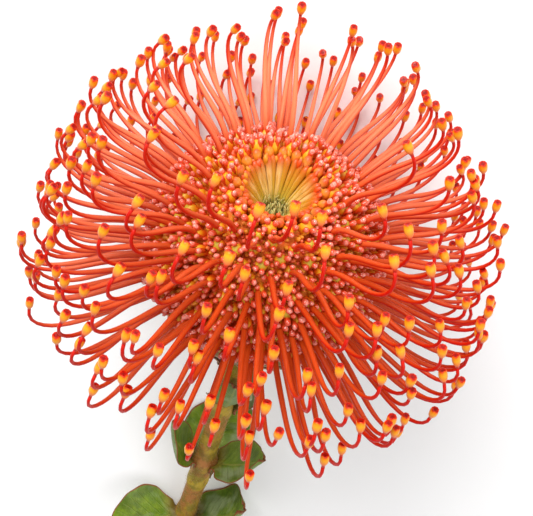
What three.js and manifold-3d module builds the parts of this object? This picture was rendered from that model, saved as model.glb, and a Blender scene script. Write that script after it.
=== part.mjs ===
// Pincushion protea: one cut flower stem that lies on its side on a flat surface.
//
// Millimetres, +Z up. The origin is on that surface, under the middle of the whole flower.
// The pieces are shaped in the flower's own frame: its origin is the middle of the round
// cushion, and its +z runs out of the flower's face, against the stem. The group at the end
// lays that frame down, with the face towards +X and the cut end of the stem on the surface.

import * as THREE from 'three';
import { ConvexHull } from 'three/addons/math/ConvexHull.js';
import { mergeVertices } from 'three/addons/utils/BufferGeometryUtils.js';
import Module from 'manifold-3d';

const solids = await Module();
solids.setup();

// ---------------------------------------------------------------- driving dimensions

const DEGREE = Math.PI / 180;
const TURN = 2 * Math.PI;
const CLEARANCE = 0.35;                    // gap between neighbouring pieces

// How the flower lies.
const TILT = 20 * DEGREE;                  // rise of the flower's axis towards its face
const HEAD_HEIGHT = 47;                    // middle of the cushion above the surface
const HEAD_FORWARD = 35.32;                // middle of the cushion ahead of the origin
const HEAD_ASIDE = -1.09;                  // and to its left

// The cushion of florets.
const FLORETS = 320;
const GOLDEN_ANGLE = 137.50776 * DEGREE;
const TURN_SPREAD = 0.06;                  // scatter of the spiral, in radians
const FIRST_POLAR = 32 * DEGREE;           // innermost open florets, from the axis
const LAST_POLAR = 116 * DEGREE;           // outermost florets, below the widest girth
const CUSHION_RADIUS = 26;                 // where the styles leave their perianths
const CROWN_RADIUS = 28;                   // tops of the curled perianth limbs
const VALLEY_RADIUS = 25;                  // between the crowns
const YOUNG_CROWNS = [18, 26 * DEGREE];    // a ring of crowns with no style out yet
const HOLLOW_TURN = 8 * DEGREE;            // the middle of the face is turned up to the light
const HOLLOW_FADE = [25 * DEGREE, 85 * DEGREE];  // over these polar angles the turn fades out
const CUSHION_SEAT = [9, -20];             // [radius, z] of the flat underside
const UNDERSIDE_RINGS = [[21.3, -14.3, 18], [15.8, -18, 14]];  // [radius, z, points]

// The styles. A lean is the angle between a style and the flower's axis, in degrees. Each
// pair is for the innermost and the outermost florets.
const STYLE_CYCLE = 10;                    // of every ten florets in turn,
const STYLE_PLACES = [0, 2, 4, 5, 7];      // these carry a style, and the others a crown
const STYLE_LENGTH = [28.5, 37.5];
const ROOT_LEAN = [26, 112];
const KNEE_LEAN = [50, 117];
const TIP_LEAN = [-28, -10];
const LENGTH_SPREAD = 5;
const ROOT_LEAN_SPREAD = 16;
const KNEE_LEAN_SPREAD = 20;
const TIP_LEAN_SPREAD = 34;
const KNEE_AT = 0.3;                       // share of the length where it leans out most
const KNEE_AT_SPREAD = 0.1;
const HOOK_ENDS_AT = 0.88;                 // share of the length where it is straight again
const HOOK_POWER = 2.2;
const SWAY = 6;                            // drift out of the style's own plane
const TIP_SWAY = 3;
const PATH_STEPS = 40;
const STYLE_SIDES = 3;
const STYLE_RADIUS = 0.75;
const ROOT_DEPTH = 3;                      // sunk into the cushion
const SHAFT_STATIONS = [0.2, 0.38, 0.54, 0.67, 0.78];          // shares of the length
const PRESENTER_RINGS = [[4.2, 0.75], [1.5, 1.5], [0, 1.1]];   // [back from the tip, radius]
const SLIVER = 0.04;                       // joined facets finer than this are merged
const PRESSED_DEPTH = 0.1;                 // how far a style under the head is pressed flat

// The hollow in the middle of the face, lined with unopened florets.
const BUD_COUNT = 18;
const BUD_SOCKET = [[3.3, 12], [10.0, 23.9]];                  // [radius, z] of its wall
const BUD_HOLLOW = [[8.0, 24.2], [5.2, 19.4], [2.6, 14.6]];    // [radius, z] down the inside
const BUD_RIM = [9.2, 24.9];
const BUD_RIDGE = 0.55;                    // how far the bud tubes stand out of the wall
const KNOB_HEIGHT = 1.2;

// The cup of woolly bracts under the head.
const BRACT_COUNT = 13;
const INVOLUCRE_RIM = [20.6, -15.4];
const INVOLUCRE_FOOT = [4.4, -29];
const INVOLUCRE_THICKNESS = 1.9;
const INVOLUCRE_FLARE = 1.25;              // how full the cup is between foot and rim
const INVOLUCRE_DROP = 1.15;               // how the rows crowd towards the rim
const BRACT_STEP = 0.05;                   // height of the step under a bract's lip
const BRACT_ROWS = 3;
const BRACT_RELIEF = 1.1;
const BRACT_TIP = 1.2;                     // the points of the uppermost bracts

// The stem.
const STEM_SIDES = 10;
const STEM_TOP = INVOLUCRE_FOOT[1] - CLEARANCE;
const STEM_END = -130.2;
const STEM_NECK_RADIUS = 4.1;
const STEM_RADIUS = 2.9;
const STEM_DRIFT = 3;                      // of the cut end, sideways
const NECK_LENGTH = 12;                    // over which it narrows from its top
const NODE_SWELL = 0.45;                   // swelling of the stem where a leaf sits
const NODE_LENGTH = 2.5;

// Leaves, from the head down: place along the axis, turn round the stem in degrees, length,
// width, lean off the stem at the base and at the tip in degrees.
const LEAVES = [
  { z: -38, turn: 340, length: 17, width: 14, lean: [46, 30] },
  { z: -47, turn: 117, length: 22, width: 16, lean: [50, 46] },
  { z: -58, turn: 282, length: 17, width: 12, lean: [30, 12] },
  { z: -65, turn: 45, length: 16, width: 14, lean: [36, 12] },
  { z: -91, turn: 188, length: 17, width: 14, lean: [50, 2] },
  { z: -91, turn: 350, length: 16, width: 16, lean: [66, 34] },
  { z: -102, turn: 80, length: 30, width: 21, lean: [60, 80] },
  { z: -121, turn: 218, length: 20, width: 22, lean: [82, 104] },
  { z: -125, turn: 356, length: 19, width: 27, lean: [60, 30] },
];
const LEAF_THICKNESS = 0.8;
const LEAF_CUP = 0.16;                     // rise of the edges, as a share of the width
const LEAF_FLATTENS = 0.5;                 // share of the cup that is lost towards the tip
const LEAF_WAVE = 0.5;                     // height of the edge's waves
const LEAF_WAVES = 1.5;
const LEAF_ROWS = 9;
const LEAF_COLUMNS = 4;
const LEAF_BASE_WIDTH = 0.42;              // share of the full width
const LEAF_OUTLINE_SPAN = [0.06, 0.96];    // part of a half wave that the outline follows
const LEAF_BROADEST_LOW = 0.82;            // under 1 moves the widest place to the base
const LEAF_BLUNTNESS = 0.62;               // under 1 makes both ends rounder
const LEAF_LIFT = 0.4;                     // least height of a leaf above the surface

// ---------------------------------------------------------------- materials

const finish = (color, roughness) => new THREE.MeshStandardMaterial({ color, roughness, metalness: 0 });
const FLOWER_ORANGE = finish(0xdf5a32, 0.45);
const BUD_OLIVE = finish(0xd9992f, 0.5);
const BRACT_WOOL = finish(0xa98a66, 0.9);
const STEM_OLIVE = finish(0x7c6d33, 0.7);
const LEAF_GREEN = finish(0x6d8a45, 0.5);

// ---------------------------------------------------------------- small helpers

const mix = (pair, share) => pair[0] + (pair[1] - pair[0]) * share;
const clamp01 = (value) => Math.min(1, Math.max(0, value));
const smooth = (value) => value * value * (3 - 2 * value);
const polar = (radius, angle, z) =>
  new THREE.Vector3(radius * Math.cos(angle), radius * Math.sin(angle), z);

// A repeatable draw between 0 and 1 for one floret and one purpose.
function draw(index, purpose) {
  const value = Math.sin(index * 12.9898 + purpose * 78.233) * 43758.5453;
  return value - Math.floor(value);
}

// Straight up from the surface, in the flower's own frame.
const UP = new THREE.Vector3(0, -Math.cos(TILT), Math.sin(TILT));
const heightOf = (point) => HEAD_HEIGHT + point.dot(UP);

// Lifts a point softly so that it stays above a level, as a pin pressed on a table bends.
function keepAbove(point, level, softness = 0.35) {
  const over = (heightOf(point) - level) / 2;
  const lifted = level + over + Math.hypot(over, softness);
  return point.clone().addScaledVector(UP, lifted - heightOf(point));
}

// Puts every vertex that is below the surface exactly on it.
function flattenOnSurface(points) {
  return points.map((point) => {
    const sunk = Math.min(0, heightOf(point));
    return point.clone().addScaledVector(UP, -sunk);
  });
}

function geometryFrom(points, triangles) {
  const geometry = new THREE.BufferGeometry();
  const numbers = points.flatMap((point) => point.toArray());
  geometry.setAttribute('position', new THREE.Float32BufferAttribute(numbers, 3));
  geometry.setIndex(triangles.flat());
  return geometry;
}

// A closed skin over a stack of rings that all have the same number of points. Each ring runs
// anticlockwise as seen from the far end of the stack. An end that is a single point is a pole.
function loft(rings) {
  const points = [];
  const starts = rings.map((ring) => {
    points.push(...ring);
    return points.length - ring.length;
  });
  const count = Math.max(...rings.map((ring) => ring.length));
  const triangles = [];
  for (let row = 0; row + 1 < rings.length; row += 1) {
    for (let column = 0; column < count; column += 1) {
      const next = (column + 1) % count;
      const [below, above] = [starts[row], starts[row + 1]];
      if (rings[row].length > 1 && rings[row + 1].length > 1) {
        triangles.push([below + column, below + next, above + next]);
        triangles.push([below + column, above + next, above + column]);
      } else if (rings[row].length > 1) {
        triangles.push([below + column, below + next, above]);
      } else {
        triangles.push([below, above + next, above + column]);
      }
    }
  }
  closeEnd(triangles, starts[0], rings[0].length, true);
  closeEnd(triangles, starts[rings.length - 1], rings[rings.length - 1].length, false);
  return geometryFrom(points, triangles);
}

function closeEnd(triangles, start, count, atStart) {
  for (let corner = 1; corner + 1 < count; corner += 1) {
    const [a, b] = atStart ? [corner + 1, corner] : [corner, corner + 1];
    triangles.push([start, start + a, start + b]);
  }
}

function toSolid(geometry) {
  const bare = geometry.clone();
  bare.deleteAttribute('normal');
  bare.deleteAttribute('uv');
  const merged = mergeVertices(bare, 1e-4);
  return new solids.Manifold(new solids.Mesh({
    numProp: 3,
    vertProperties: new Float32Array(merged.attributes.position.array),
    triVerts: new Uint32Array(merged.index.array),
  }));
}

// One solid's outer skin. Sealed hollows and loose scraps come out as pieces of their own,
// and only the largest piece is kept.
function fromSolid(solid) {
  const pieces = solid.decompose();
  const body = pieces.reduce((best, piece) => (piece.volume() > best.volume() ? piece : best));
  const mesh = body.getMesh();
  const geometry = new THREE.BufferGeometry();
  geometry.setAttribute('position', new THREE.Float32BufferAttribute(mesh.vertProperties, 3));
  geometry.setIndex(Array.from(mesh.triVerts));
  return geometry;
}

// ---------------------------------------------------------------- florets and their styles

const hasStyle = (index) => STYLE_PLACES.includes(index % STYLE_CYCLE);
const onSphere = (radius, polarAngle, turn) =>
  polar(radius * Math.sin(polarAngle), turn, radius * Math.cos(polarAngle));

// Turns a point round the flower's x axis by a share of the hollow's turn.
const turnUp = (point, share = 1) => point.applyAxisAngle(new THREE.Vector3(1, 0, 0), share * HOLLOW_TURN);

// Where a floret stands: turn round the axis, polar angle, and how far out in the order it is.
// The innermost ones follow the turned-up middle, the outer ones hardly do.
function floret(index) {
  const share = (index + 0.5) / FLORETS;
  const evenPolar = Math.acos(mix([Math.cos(FIRST_POLAR), Math.cos(LAST_POLAR)], share));
  const evenTurn = index * GOLDEN_ANGLE + (draw(index, 1) - 0.5) * TURN_SPREAD;
  const [fadeStart, fadeEnd] = HOLLOW_FADE;
  const fade = smooth(clamp01((evenPolar - fadeStart) / (fadeEnd - fadeStart)));
  const direction = turnUp(onSphere(1, evenPolar, evenTurn), 1 - fade);
  return {
    turn: Math.atan2(direction.y, direction.x),
    polarAngle: Math.acos(direction.z),
    outward: (evenPolar - FIRST_POLAR) / (LAST_POLAR - FIRST_POLAR),
  };
}

// The middle line of a style, as PATH_STEPS + 1 points an equal length apart. Its lean goes
// smoothly from the root's to the knee's, then along a power curve to the tip's, and the
// line is the sum of small steps at that lean.
function stylePath(index) {
  const { turn, polarAngle, outward } = floret(index);
  const spread = (purpose, width) => (draw(index, purpose) - 0.5) * width;
  const rootLean = mix(ROOT_LEAN, outward) + spread(2, ROOT_LEAN_SPREAD);
  const kneeLean = mix(KNEE_LEAN, outward) + spread(3, KNEE_LEAN_SPREAD);
  const tipLean = mix(TIP_LEAN, outward) + spread(4, TIP_LEAN_SPREAD);
  const kneeAt = KNEE_AT + KNEE_AT_SPREAD * draw(index, 5);
  const length = mix(STYLE_LENGTH, outward) + spread(6, LENGTH_SPREAD);
  const sway = spread(7, SWAY);
  const tipSway = spread(8, TIP_SWAY);
  const leanAt = (share) => {
    const rise = smooth(clamp01(share / kneeAt));
    const fall = clamp01((share - kneeAt) / (HOOK_ENDS_AT - kneeAt)) ** HOOK_POWER;
    return (rootLean + (kneeLean - rootLean) * rise + (tipLean - kneeLean) * fall) * DEGREE;
  };
  const step = length / PATH_STEPS;
  let radius = CUSHION_RADIUS * Math.sin(polarAngle);
  let z = CUSHION_RADIUS * Math.cos(polarAngle);
  const points = [];
  for (let k = 0; k <= PATH_STEPS; k += 1) {
    const share = k / PATH_STEPS;
    if (k > 0) {
      const [before, after] = [leanAt(share - 1 / PATH_STEPS), leanAt(share)];
      radius += (step * (Math.sin(before) + Math.sin(after))) / 2;
      z += (step * (Math.cos(before) + Math.cos(after))) / 2;
    }
    const aside = sway * smooth(share) + tipSway * share;
    points.push(new THREE.Vector3(
      radius * Math.cos(turn) - aside * Math.sin(turn),
      radius * Math.sin(turn) + aside * Math.cos(turn),
      z,
    ));
  }
  return { points, length, turn, polarAngle };
}

function alongPath(points, share) {
  const place = clamp01(share) * (points.length - 1);
  const index = Math.min(points.length - 2, Math.floor(place));
  return points[index].clone().lerp(points[index + 1], place - index);
}

// A style with its pollen presenter: a thin three-sided shaft that swells near its tip.
function styleSolid(index) {
  const { points, length, turn, polarAngle } = stylePath(index);
  const stations = [
    ...SHAFT_STATIONS.map((share) => [share, STYLE_RADIUS]),
    ...PRESENTER_RINGS.map(([back, radius]) => [1 - back / length, radius]),
  ];
  const line = [
    { point: onSphere(CUSHION_RADIUS - ROOT_DEPTH, polarAngle, turn), radius: STYLE_RADIUS },
    ...stations.map(([share, radius]) => ({ point: alongPath(points, share), radius })),
  ];
  const bent = line.map(({ point, radius }) => {
    const lowestCorner = radius * Math.cos(TURN / STYLE_SIDES / 2);
    return { point: keepAbove(point, lowestCorner - PRESSED_DEPTH), radius };
  });
  const acrossPlane = new THREE.Vector3(-Math.sin(turn), Math.cos(turn), 0);
  const rings = bent.map(({ point, radius }, k) => {
    const from = bent[Math.max(0, k - 1)].point;
    const to = bent[Math.min(bent.length - 1, k + 1)].point;
    const along = to.clone().sub(from).normalize();
    const side = acrossPlane.clone().addScaledVector(along, -acrossPlane.dot(along)).normalize();
    const other = along.clone().cross(side);
    const ring = [];
    for (let corner = 0; corner < STYLE_SIDES; corner += 1) {
      const angle = (TURN * corner) / STYLE_SIDES;
      ring.push(point.clone()
        .addScaledVector(side, radius * Math.cos(angle))
        .addScaledVector(other, radius * Math.sin(angle)));
    }
    return flattenOnSurface(ring);
  });
  return toSolid(loft(rings));
}

// ---------------------------------------------------------------- cushion

function ringOf(radius, z, count, phase = 0) {
  return Array.from({ length: count }, (_, k) => polar(radius, (TURN * (k + phase)) / count, z));
}

// The cushion is one star-shaped body. The hull of all its points, each drawn out to the unit
// sphere, says which points are neighbours. Between three neighbouring crowns lies a valley.
function cushionSolid() {
  const crowns = [];
  for (let index = 0; index < FLORETS; index += 1) {
    const { turn, polarAngle } = floret(index);
    if (!hasStyle(index)) crowns.push(onSphere(CROWN_RADIUS, polarAngle, turn));
  }
  const [youngCount, youngPolar] = YOUNG_CROWNS;
  for (let k = 0; k < youngCount; k += 1) {
    crowns.push(turnUp(onSphere(CROWN_RADIUS, youngPolar, (TURN * (k + 0.5)) / youngCount)));
  }
  const socket = BUD_SOCKET.flatMap(([radius, z]) => ringOf(radius, z, BUD_COUNT));
  const socketPole = new THREE.Vector3(0, 0, BUD_SOCKET[0][1]);
  [...socket, socketPole].forEach((point) => turnUp(point));
  const underside = UNDERSIDE_RINGS.flatMap(([radius, z, count]) => ringOf(radius, z, count));
  const seat = ringOf(CUSHION_SEAT[0], CUSHION_SEAT[1], 12);
  const poles = [socketPole, new THREE.Vector3(0, 0, CUSHION_SEAT[1])];
  const points = [...crowns, ...socket, ...underside, ...seat, ...poles];
  const directions = points.map((point) => point.clone().normalize());
  const order = new Map(directions.map((direction, k) => [direction, k]));
  const triangles = [];
  for (const face of new ConvexHull().setFromPoints(directions).faces) {
    const corners = [0, 1, 2].map((k) => order.get(face.getEdge(k).head().point));
    if (corners.every((corner) => corner < crowns.length)) {
      const middle = new THREE.Vector3();
      corners.forEach((corner) => middle.add(directions[corner]));
      points.push(middle.normalize().multiplyScalar(VALLEY_RADIUS));
      const valley = points.length - 1;
      corners.forEach((corner, k) => triangles.push([corner, corners[(k + 1) % 3], valley]));
    } else {
      triangles.push(corners);
    }
  }
  return toSolid(geometryFrom(points, triangles));
}

function flowerHead() {
  const parts = [cushionSolid()];
  for (let index = 0; index < FLORETS; index += 1) {
    if (hasStyle(index)) parts.push(styleSolid(index));
  }
  return fromSolid(solids.Manifold.union(parts).simplify(SLIVER));
}

// ---------------------------------------------------------------- unopened florets

// A funnel of bud tubes. Its outside keeps clear of the socket, its inside is ridged, and its
// rim carries one knob for each tube.
function centralBuds() {
  const count = 2 * BUD_COUNT;
  const wave = (column) => (column % 2 === 0 ? 1 : 0);
  const ring = (radius, z, ridge, knob) => Array.from({ length: count }, (_, column) =>
    polar(radius - ridge * wave(column), (TURN * column) / count, z + knob * wave(column)));
  const [foot, lip] = BUD_SOCKET;
  const wall = new THREE.Vector2(lip[0] - foot[0], lip[1] - foot[1]).normalize();
  const inward = [-CLEARANCE * wall.y, CLEARANCE * wall.x];
  const flat = Math.cos(TURN / BUD_COUNT / 2);      // the socket's sides are flat between corners
  const outer = ([radius, z]) => ring((radius + inward[0]) * flat, z + inward[1], 0, 0);
  const [rimRadius, rimZ] = BUD_RIM;
  const floor = BUD_HOLLOW[BUD_HOLLOW.length - 1];
  return loft([
    [new THREE.Vector3(0, 0, foot[1] + 2 * CLEARANCE)],
    outer([foot[0], foot[1] + CLEARANCE]),
    outer(lip),
    ring(rimRadius, rimZ, 0, KNOB_HEIGHT),
    ...BUD_HOLLOW.map(([radius, z]) => ring(radius, z, BUD_RIDGE, 0)),
    [new THREE.Vector3(0, 0, floor[1] - CLEARANCE)],
  ]);
}

// ---------------------------------------------------------------- involucre

// The cup follows the cushion's underside at the clearance. Outside it is cut into rows of
// overlapping bracts: along each row the surface swells from the row above to a pointed lip.
function involucre() {
  const count = 4 * BRACT_COUNT;
  const seatZ = CUSHION_SEAT[1] - CLEARANCE;
  const [footRadius, footZ] = INVOLUCRE_FOOT;
  const [rimRadius, rimZ] = INVOLUCRE_RIM;
  const bractWave = (column, row) => 0.5 + 0.5 * Math.cos((TURN * (column + 2 * (row % 2))) / 4);
  const ring = (radius, z, swell, row) => Array.from({ length: count }, (_, column) => {
    const wave = bractWave(column, row);
    const tip = z === rimZ ? BRACT_TIP * wave : 0;
    return polar(radius + swell * wave, (TURN * column) / count, z + tip);
  });
  const underside = UNDERSIDE_RINGS[1];
  const inside = [
    [new THREE.Vector3(0, 0, seatZ)],
    ring(CUSHION_SEAT[0] - 1, seatZ, 0, 0),
    ring(underside[0] + CLEARANCE, underside[1] - 1.5 * CLEARANCE, 0, 0),
    ring(rimRadius + CLEARANCE, rimZ - CLEARANCE, 0, 0),
  ];
  const fullness = rimRadius + INVOLUCRE_THICKNESS - footRadius;
  const bulge = (share) => footRadius + fullness * Math.cos((share * Math.PI) / 2) ** INVOLUCRE_FLARE;
  const depth = (share) => rimZ + (footZ - rimZ) * share ** INVOLUCRE_DROP;
  const outside = [];
  for (let row = 0; row < BRACT_ROWS; row += 1) {
    const share = row / BRACT_ROWS;
    const nextShare = (row + 1) / BRACT_ROWS;
    outside.push(ring(bulge(share), depth(share), BRACT_RELIEF * (1 - share / 2), row));
    outside.push(ring(bulge(nextShare), depth(nextShare - BRACT_STEP), 0, row));
  }
  const rings = [...inside, ...outside, [new THREE.Vector3(0, 0, footZ)]];
  return loft(rings.reverse());
}

// ---------------------------------------------------------------- stem

const stemShare = (z) => clamp01((STEM_TOP - z) / (STEM_TOP - STEM_END));
const stemCentre = (z) => new THREE.Vector3(-STEM_DRIFT * stemShare(z) ** 2, 0, z);

function stemRadius(z) {
  const neck = (STEM_NECK_RADIUS - STEM_RADIUS) * Math.exp((z - STEM_TOP) / NECK_LENGTH);
  const swellAt = (leafZ) => NODE_SWELL * Math.exp(-(((z - leafZ) / NODE_LENGTH) ** 2));
  return LEAVES.reduce((radius, { z: leafZ }) => radius + swellAt(leafZ), STEM_RADIUS + neck);
}

function stem() {
  const nodes = LEAVES.flatMap(({ z }) => [z + NODE_LENGTH, z, z - NODE_LENGTH]);
  const stations = [STEM_TOP, STEM_TOP - NECK_LENGTH / 3, STEM_END, ...nodes].sort((a, b) => a - b);
  const ringAt = (z) => ringOf(stemRadius(z), 0, STEM_SIDES).map((point) => point.add(stemCentre(z)));
  return loft(stations.map((z) => flattenOnSurface(ringAt(z))));
}

// ---------------------------------------------------------------- leaves

// Half the width at a share of the length: a clasping base, a broad middle, a blunt tip.
function leafHalfWidth(width, share) {
  const stretched = mix(LEAF_OUTLINE_SPAN, share) ** LEAF_BROADEST_LOW;
  const body = Math.sin(Math.PI * stretched) ** LEAF_BLUNTNESS;
  const base = LEAF_BASE_WIDTH * (1 - share) ** 3;
  return (width / 2) * Math.max(body, base);
}

// A blade on an arched middle line that leans off the stem. Both faces carry the same net of
// triangles, half a thickness to either side of the blade's middle surface.
function leaf({ z, turn, length, width, lean }) {
  const angle = turn * DEGREE;
  const outward = polar(1, angle, 0);
  const across = new THREE.Vector3(-Math.sin(angle), Math.cos(angle), 0);
  const axis = new THREE.Vector3(0, 0, 1);
  const halfThickness = LEAF_THICKNESS / 2;
  const seat = stemRadius(z) + CLEARANCE + halfThickness * Math.cos(lean[0] * DEGREE);
  const base = stemCentre(z).addScaledVector(outward, seat);
  const upper = [];
  const lower = [];
  const middle = base.clone();
  for (let row = 0; row <= LEAF_ROWS; row += 1) {
    const share = row / LEAF_ROWS;
    const leanHere = mix(lean, share) * DEGREE;
    const along = outward.clone().multiplyScalar(Math.sin(leanHere)).addScaledVector(axis, Math.cos(leanHere));
    const normal = across.clone().cross(along).negate();
    if (row > 0) middle.addScaledVector(along, length / LEAF_ROWS);
    const half = leafHalfWidth(width, share);
    for (let column = 0; column <= LEAF_COLUMNS; column += 1) {
      const side = (2 * column) / LEAF_COLUMNS - 1;
      const cup = LEAF_CUP * width * side * side * (1 - LEAF_FLATTENS * share);
      const wave = LEAF_WAVE * side * side * Math.sin(TURN * share * LEAF_WAVES + side);
      const point = middle.clone().addScaledVector(across, side * half).addScaledVector(normal, cup + wave);
      const lifted = keepAbove(point, LEAF_LIFT + halfThickness);
      upper.push(lifted.clone().addScaledVector(normal, halfThickness));
      lower.push(lifted.clone().addScaledVector(normal, -halfThickness));
    }
  }
  return bladeSkin(upper, lower);
}

function bladeSkin(upper, lower) {
  const columns = LEAF_COLUMNS + 1;
  const offset = upper.length;
  const triangles = [];
  const quad = (a, b, c, d) => triangles.push([a, b, c], [a, c, d]);
  for (let row = 0; row < LEAF_ROWS; row += 1) {
    for (let column = 0; column < LEAF_COLUMNS; column += 1) {
      const [a, b] = [row * columns + column, row * columns + column + 1];
      const [c, d] = [b + columns, a + columns];
      triangles.push([a, c, b], [a, d, c]);
      triangles.push([a + offset, b + offset, c + offset], [a + offset, c + offset, d + offset]);
    }
    const left = row * columns;
    const right = left + LEAF_COLUMNS;
    quad(left, left + offset, left + columns + offset, left + columns);
    quad(right, right + columns, right + columns + offset, right + offset);
  }
  for (let column = 0; column < LEAF_COLUMNS; column += 1) {
    const tip = LEAF_ROWS * columns + column;
    quad(column, column + 1, column + 1 + offset, column + offset);
    quad(tip, tip + offset, tip + 1 + offset, tip + 1);
  }
  return geometryFrom([...upper, ...lower], triangles);
}

// ---------------------------------------------------------------- the flower, laid down

function piece(name, geometry, material) {
  geometry.computeVertexNormals();
  const mesh = new THREE.Mesh(geometry, material);
  mesh.name = name;
  return mesh;
}

const lying = new THREE.Group();
lying.add(piece('flower_head', flowerHead(), FLOWER_ORANGE));
lying.add(piece('central_buds', centralBuds().rotateX(HOLLOW_TURN), BUD_OLIVE));
lying.add(piece('involucre', involucre(), BRACT_WOOL));
lying.add(piece('stem', stem(), STEM_OLIVE));
LEAVES.forEach((leafShape, k) => lying.add(piece(`leaf_${k + 1}`, leaf(leafShape), LEAF_GREEN)));
lying.quaternion.setFromRotationMatrix(new THREE.Matrix4().makeBasis(
  new THREE.Vector3(0, -1, 0),
  new THREE.Vector3(Math.sin(TILT), 0, -Math.cos(TILT)),
  new THREE.Vector3(Math.cos(TILT), 0, Math.sin(TILT)),
));
lying.position.set(HEAD_FORWARD, HEAD_ASIDE, HEAD_HEIGHT);

const part = new THREE.Group();
part.add(lying);
export default part;
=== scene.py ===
# %% [markdown]
# # A cut pincushion protea, built from curves and surfaces
#
# The flower head of a pincushion is a crowd of florets on one woody knob. Each floret has four
# short limbs that curl back into a little crown, and one long wiry style that bends out and up
# like a pin, with a pollen presenter at its tip. The crowns together make the "cushion".
#
# The solids of the frame already say where everything is. This script puts fine pieces in their
# places: every piece is a formula on a grid of two parameters, worked out by numpy.

import bpy
import numpy as np
from mathutils import Matrix, Vector


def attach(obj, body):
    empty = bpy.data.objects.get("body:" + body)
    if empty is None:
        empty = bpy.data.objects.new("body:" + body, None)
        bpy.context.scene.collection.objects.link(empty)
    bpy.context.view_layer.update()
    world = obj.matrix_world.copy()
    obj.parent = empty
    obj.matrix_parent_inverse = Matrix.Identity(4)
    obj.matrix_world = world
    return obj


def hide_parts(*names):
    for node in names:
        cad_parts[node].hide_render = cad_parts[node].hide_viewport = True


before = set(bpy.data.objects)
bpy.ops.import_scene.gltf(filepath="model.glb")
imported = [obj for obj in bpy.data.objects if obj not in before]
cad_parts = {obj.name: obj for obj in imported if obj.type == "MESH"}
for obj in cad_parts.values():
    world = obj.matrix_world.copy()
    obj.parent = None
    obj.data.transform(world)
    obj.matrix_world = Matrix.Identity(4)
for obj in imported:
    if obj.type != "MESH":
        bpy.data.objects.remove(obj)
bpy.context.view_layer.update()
print("nodes in the frame:", sorted(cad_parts))

# %% [markdown]
# ## The flower's own frame
#
# A flower is easiest to think of with its axis upright: the origin in the middle of the cushion,
# z out of the flower's face. All shapes below are made in that frame in millimetres, and one
# function lays them down in the world, in metres. The flower lies on its side, so its axis rises
# only twenty degrees from the surface, and whatever reaches the surface is lifted onto it.

# %% Lay the flower down
MM = 0.001
TURN = 2 * np.pi
TILT = np.radians(20.0)
HEAD_CENTRE = np.array([35.32, -1.09, 47.0])

# Rows are where the flower's x, y and z axes point in the world.
FLOWER_AXES = np.array([
    [0.0, -1.0, 0.0],
    [np.sin(TILT), 0.0, -np.cos(TILT)],
    [np.cos(TILT), 0.0, np.sin(TILT)],
])
UP = FLOWER_AXES[:, 2]
AXIS = np.array([0.0, 0.0, 1.0])


def to_world(points):
    """Flower millimetres to world metres: turn by FLOWER_AXES, then move to the head's centre."""
    return (points @ FLOWER_AXES + HEAD_CENTRE) * MM


def height(points):
    """Height above the surface, in millimetres: head height plus the part along UP."""
    return HEAD_CENTRE[2] + points @ UP


def keep_above(points, level, softness=0.35):
    """Soft maximum of the height and a level: level + d/2 + sqrt((d/2)^2 + softness^2)."""
    over = (height(points) - level) / 2
    lift = level + over + np.hypot(over, softness) - height(points)
    return points + lift[..., None] * UP


def rest_on_surface(points):
    """Moves every point below the surface straight up onto it."""
    return points - np.minimum(height(points), 0)[..., None] * UP


print("middle of the cushion, m:", to_world(np.zeros(3)), "flower axis:", FLOWER_AXES[2])


# %% Small helpers for shapes
def polar(radius, angle, z):
    """Cylinder coordinates about the flower's axis to x, y, z."""
    radius, angle, z = np.broadcast_arrays(radius, angle, z)
    return np.stack([radius * np.cos(angle), radius * np.sin(angle), z], axis=-1)


def unit(vectors):
    """The same directions, each one long."""
    return vectors / np.linalg.norm(vectors, axis=-1, keepdims=True)


def smooth(x):
    """The smooth step 3x^2 - 2x^3, held at 0 and 1 outside 0..1."""
    x = np.clip(x, 0, 1)
    return x * x * (3 - 2 * x)


def mix(pair, share):
    """The pair's first value at share 0, its second at 1, and a straight line between."""
    return pair[0] + (pair[1] - pair[0]) * share


def draw(index, purpose):
    """A repeatable draw on 0..1: the fraction of 43758.5453 sin(12.9898 i + 78.233 k)."""
    value = np.sin(np.asarray(index) * 12.9898 + purpose * 78.233) * 43758.5453
    return value - np.floor(value)


def curve_through(stops, at):
    """A smooth curve through [(place, value), ...]: smooth steps from stop to stop."""
    places, values = np.array(stops, float).T
    step = np.clip(np.searchsorted(places, at, side="right") - 1, 0, len(places) - 2)
    share = smooth((at - places[step]) / (places[step + 1] - places[step]))
    return values[step] + (values[step + 1] - values[step]) * share


print("the first three draws for purpose 1:", draw(np.arange(3), 1))

# %% [markdown]
# ## One way to make every mesh
#
# Styles, limbs, hairs and bud tubes are all tubes: rings of points along a path. A whole crowd of
# tubes is one array of shape (copies, rings, sides, 3), so one function can skin the crowd: quads
# between rings, a fan over each end. Blender's curve objects could do it too, but they leave no
# say in where the rings lie, and the export drops what isn't a mesh. Each mesh gets a UV map that
# follows the surface (u around, v along) and a `tone` attribute, one draw for each copy, so that
# a material can follow the form and vary from copy to copy.


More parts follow.
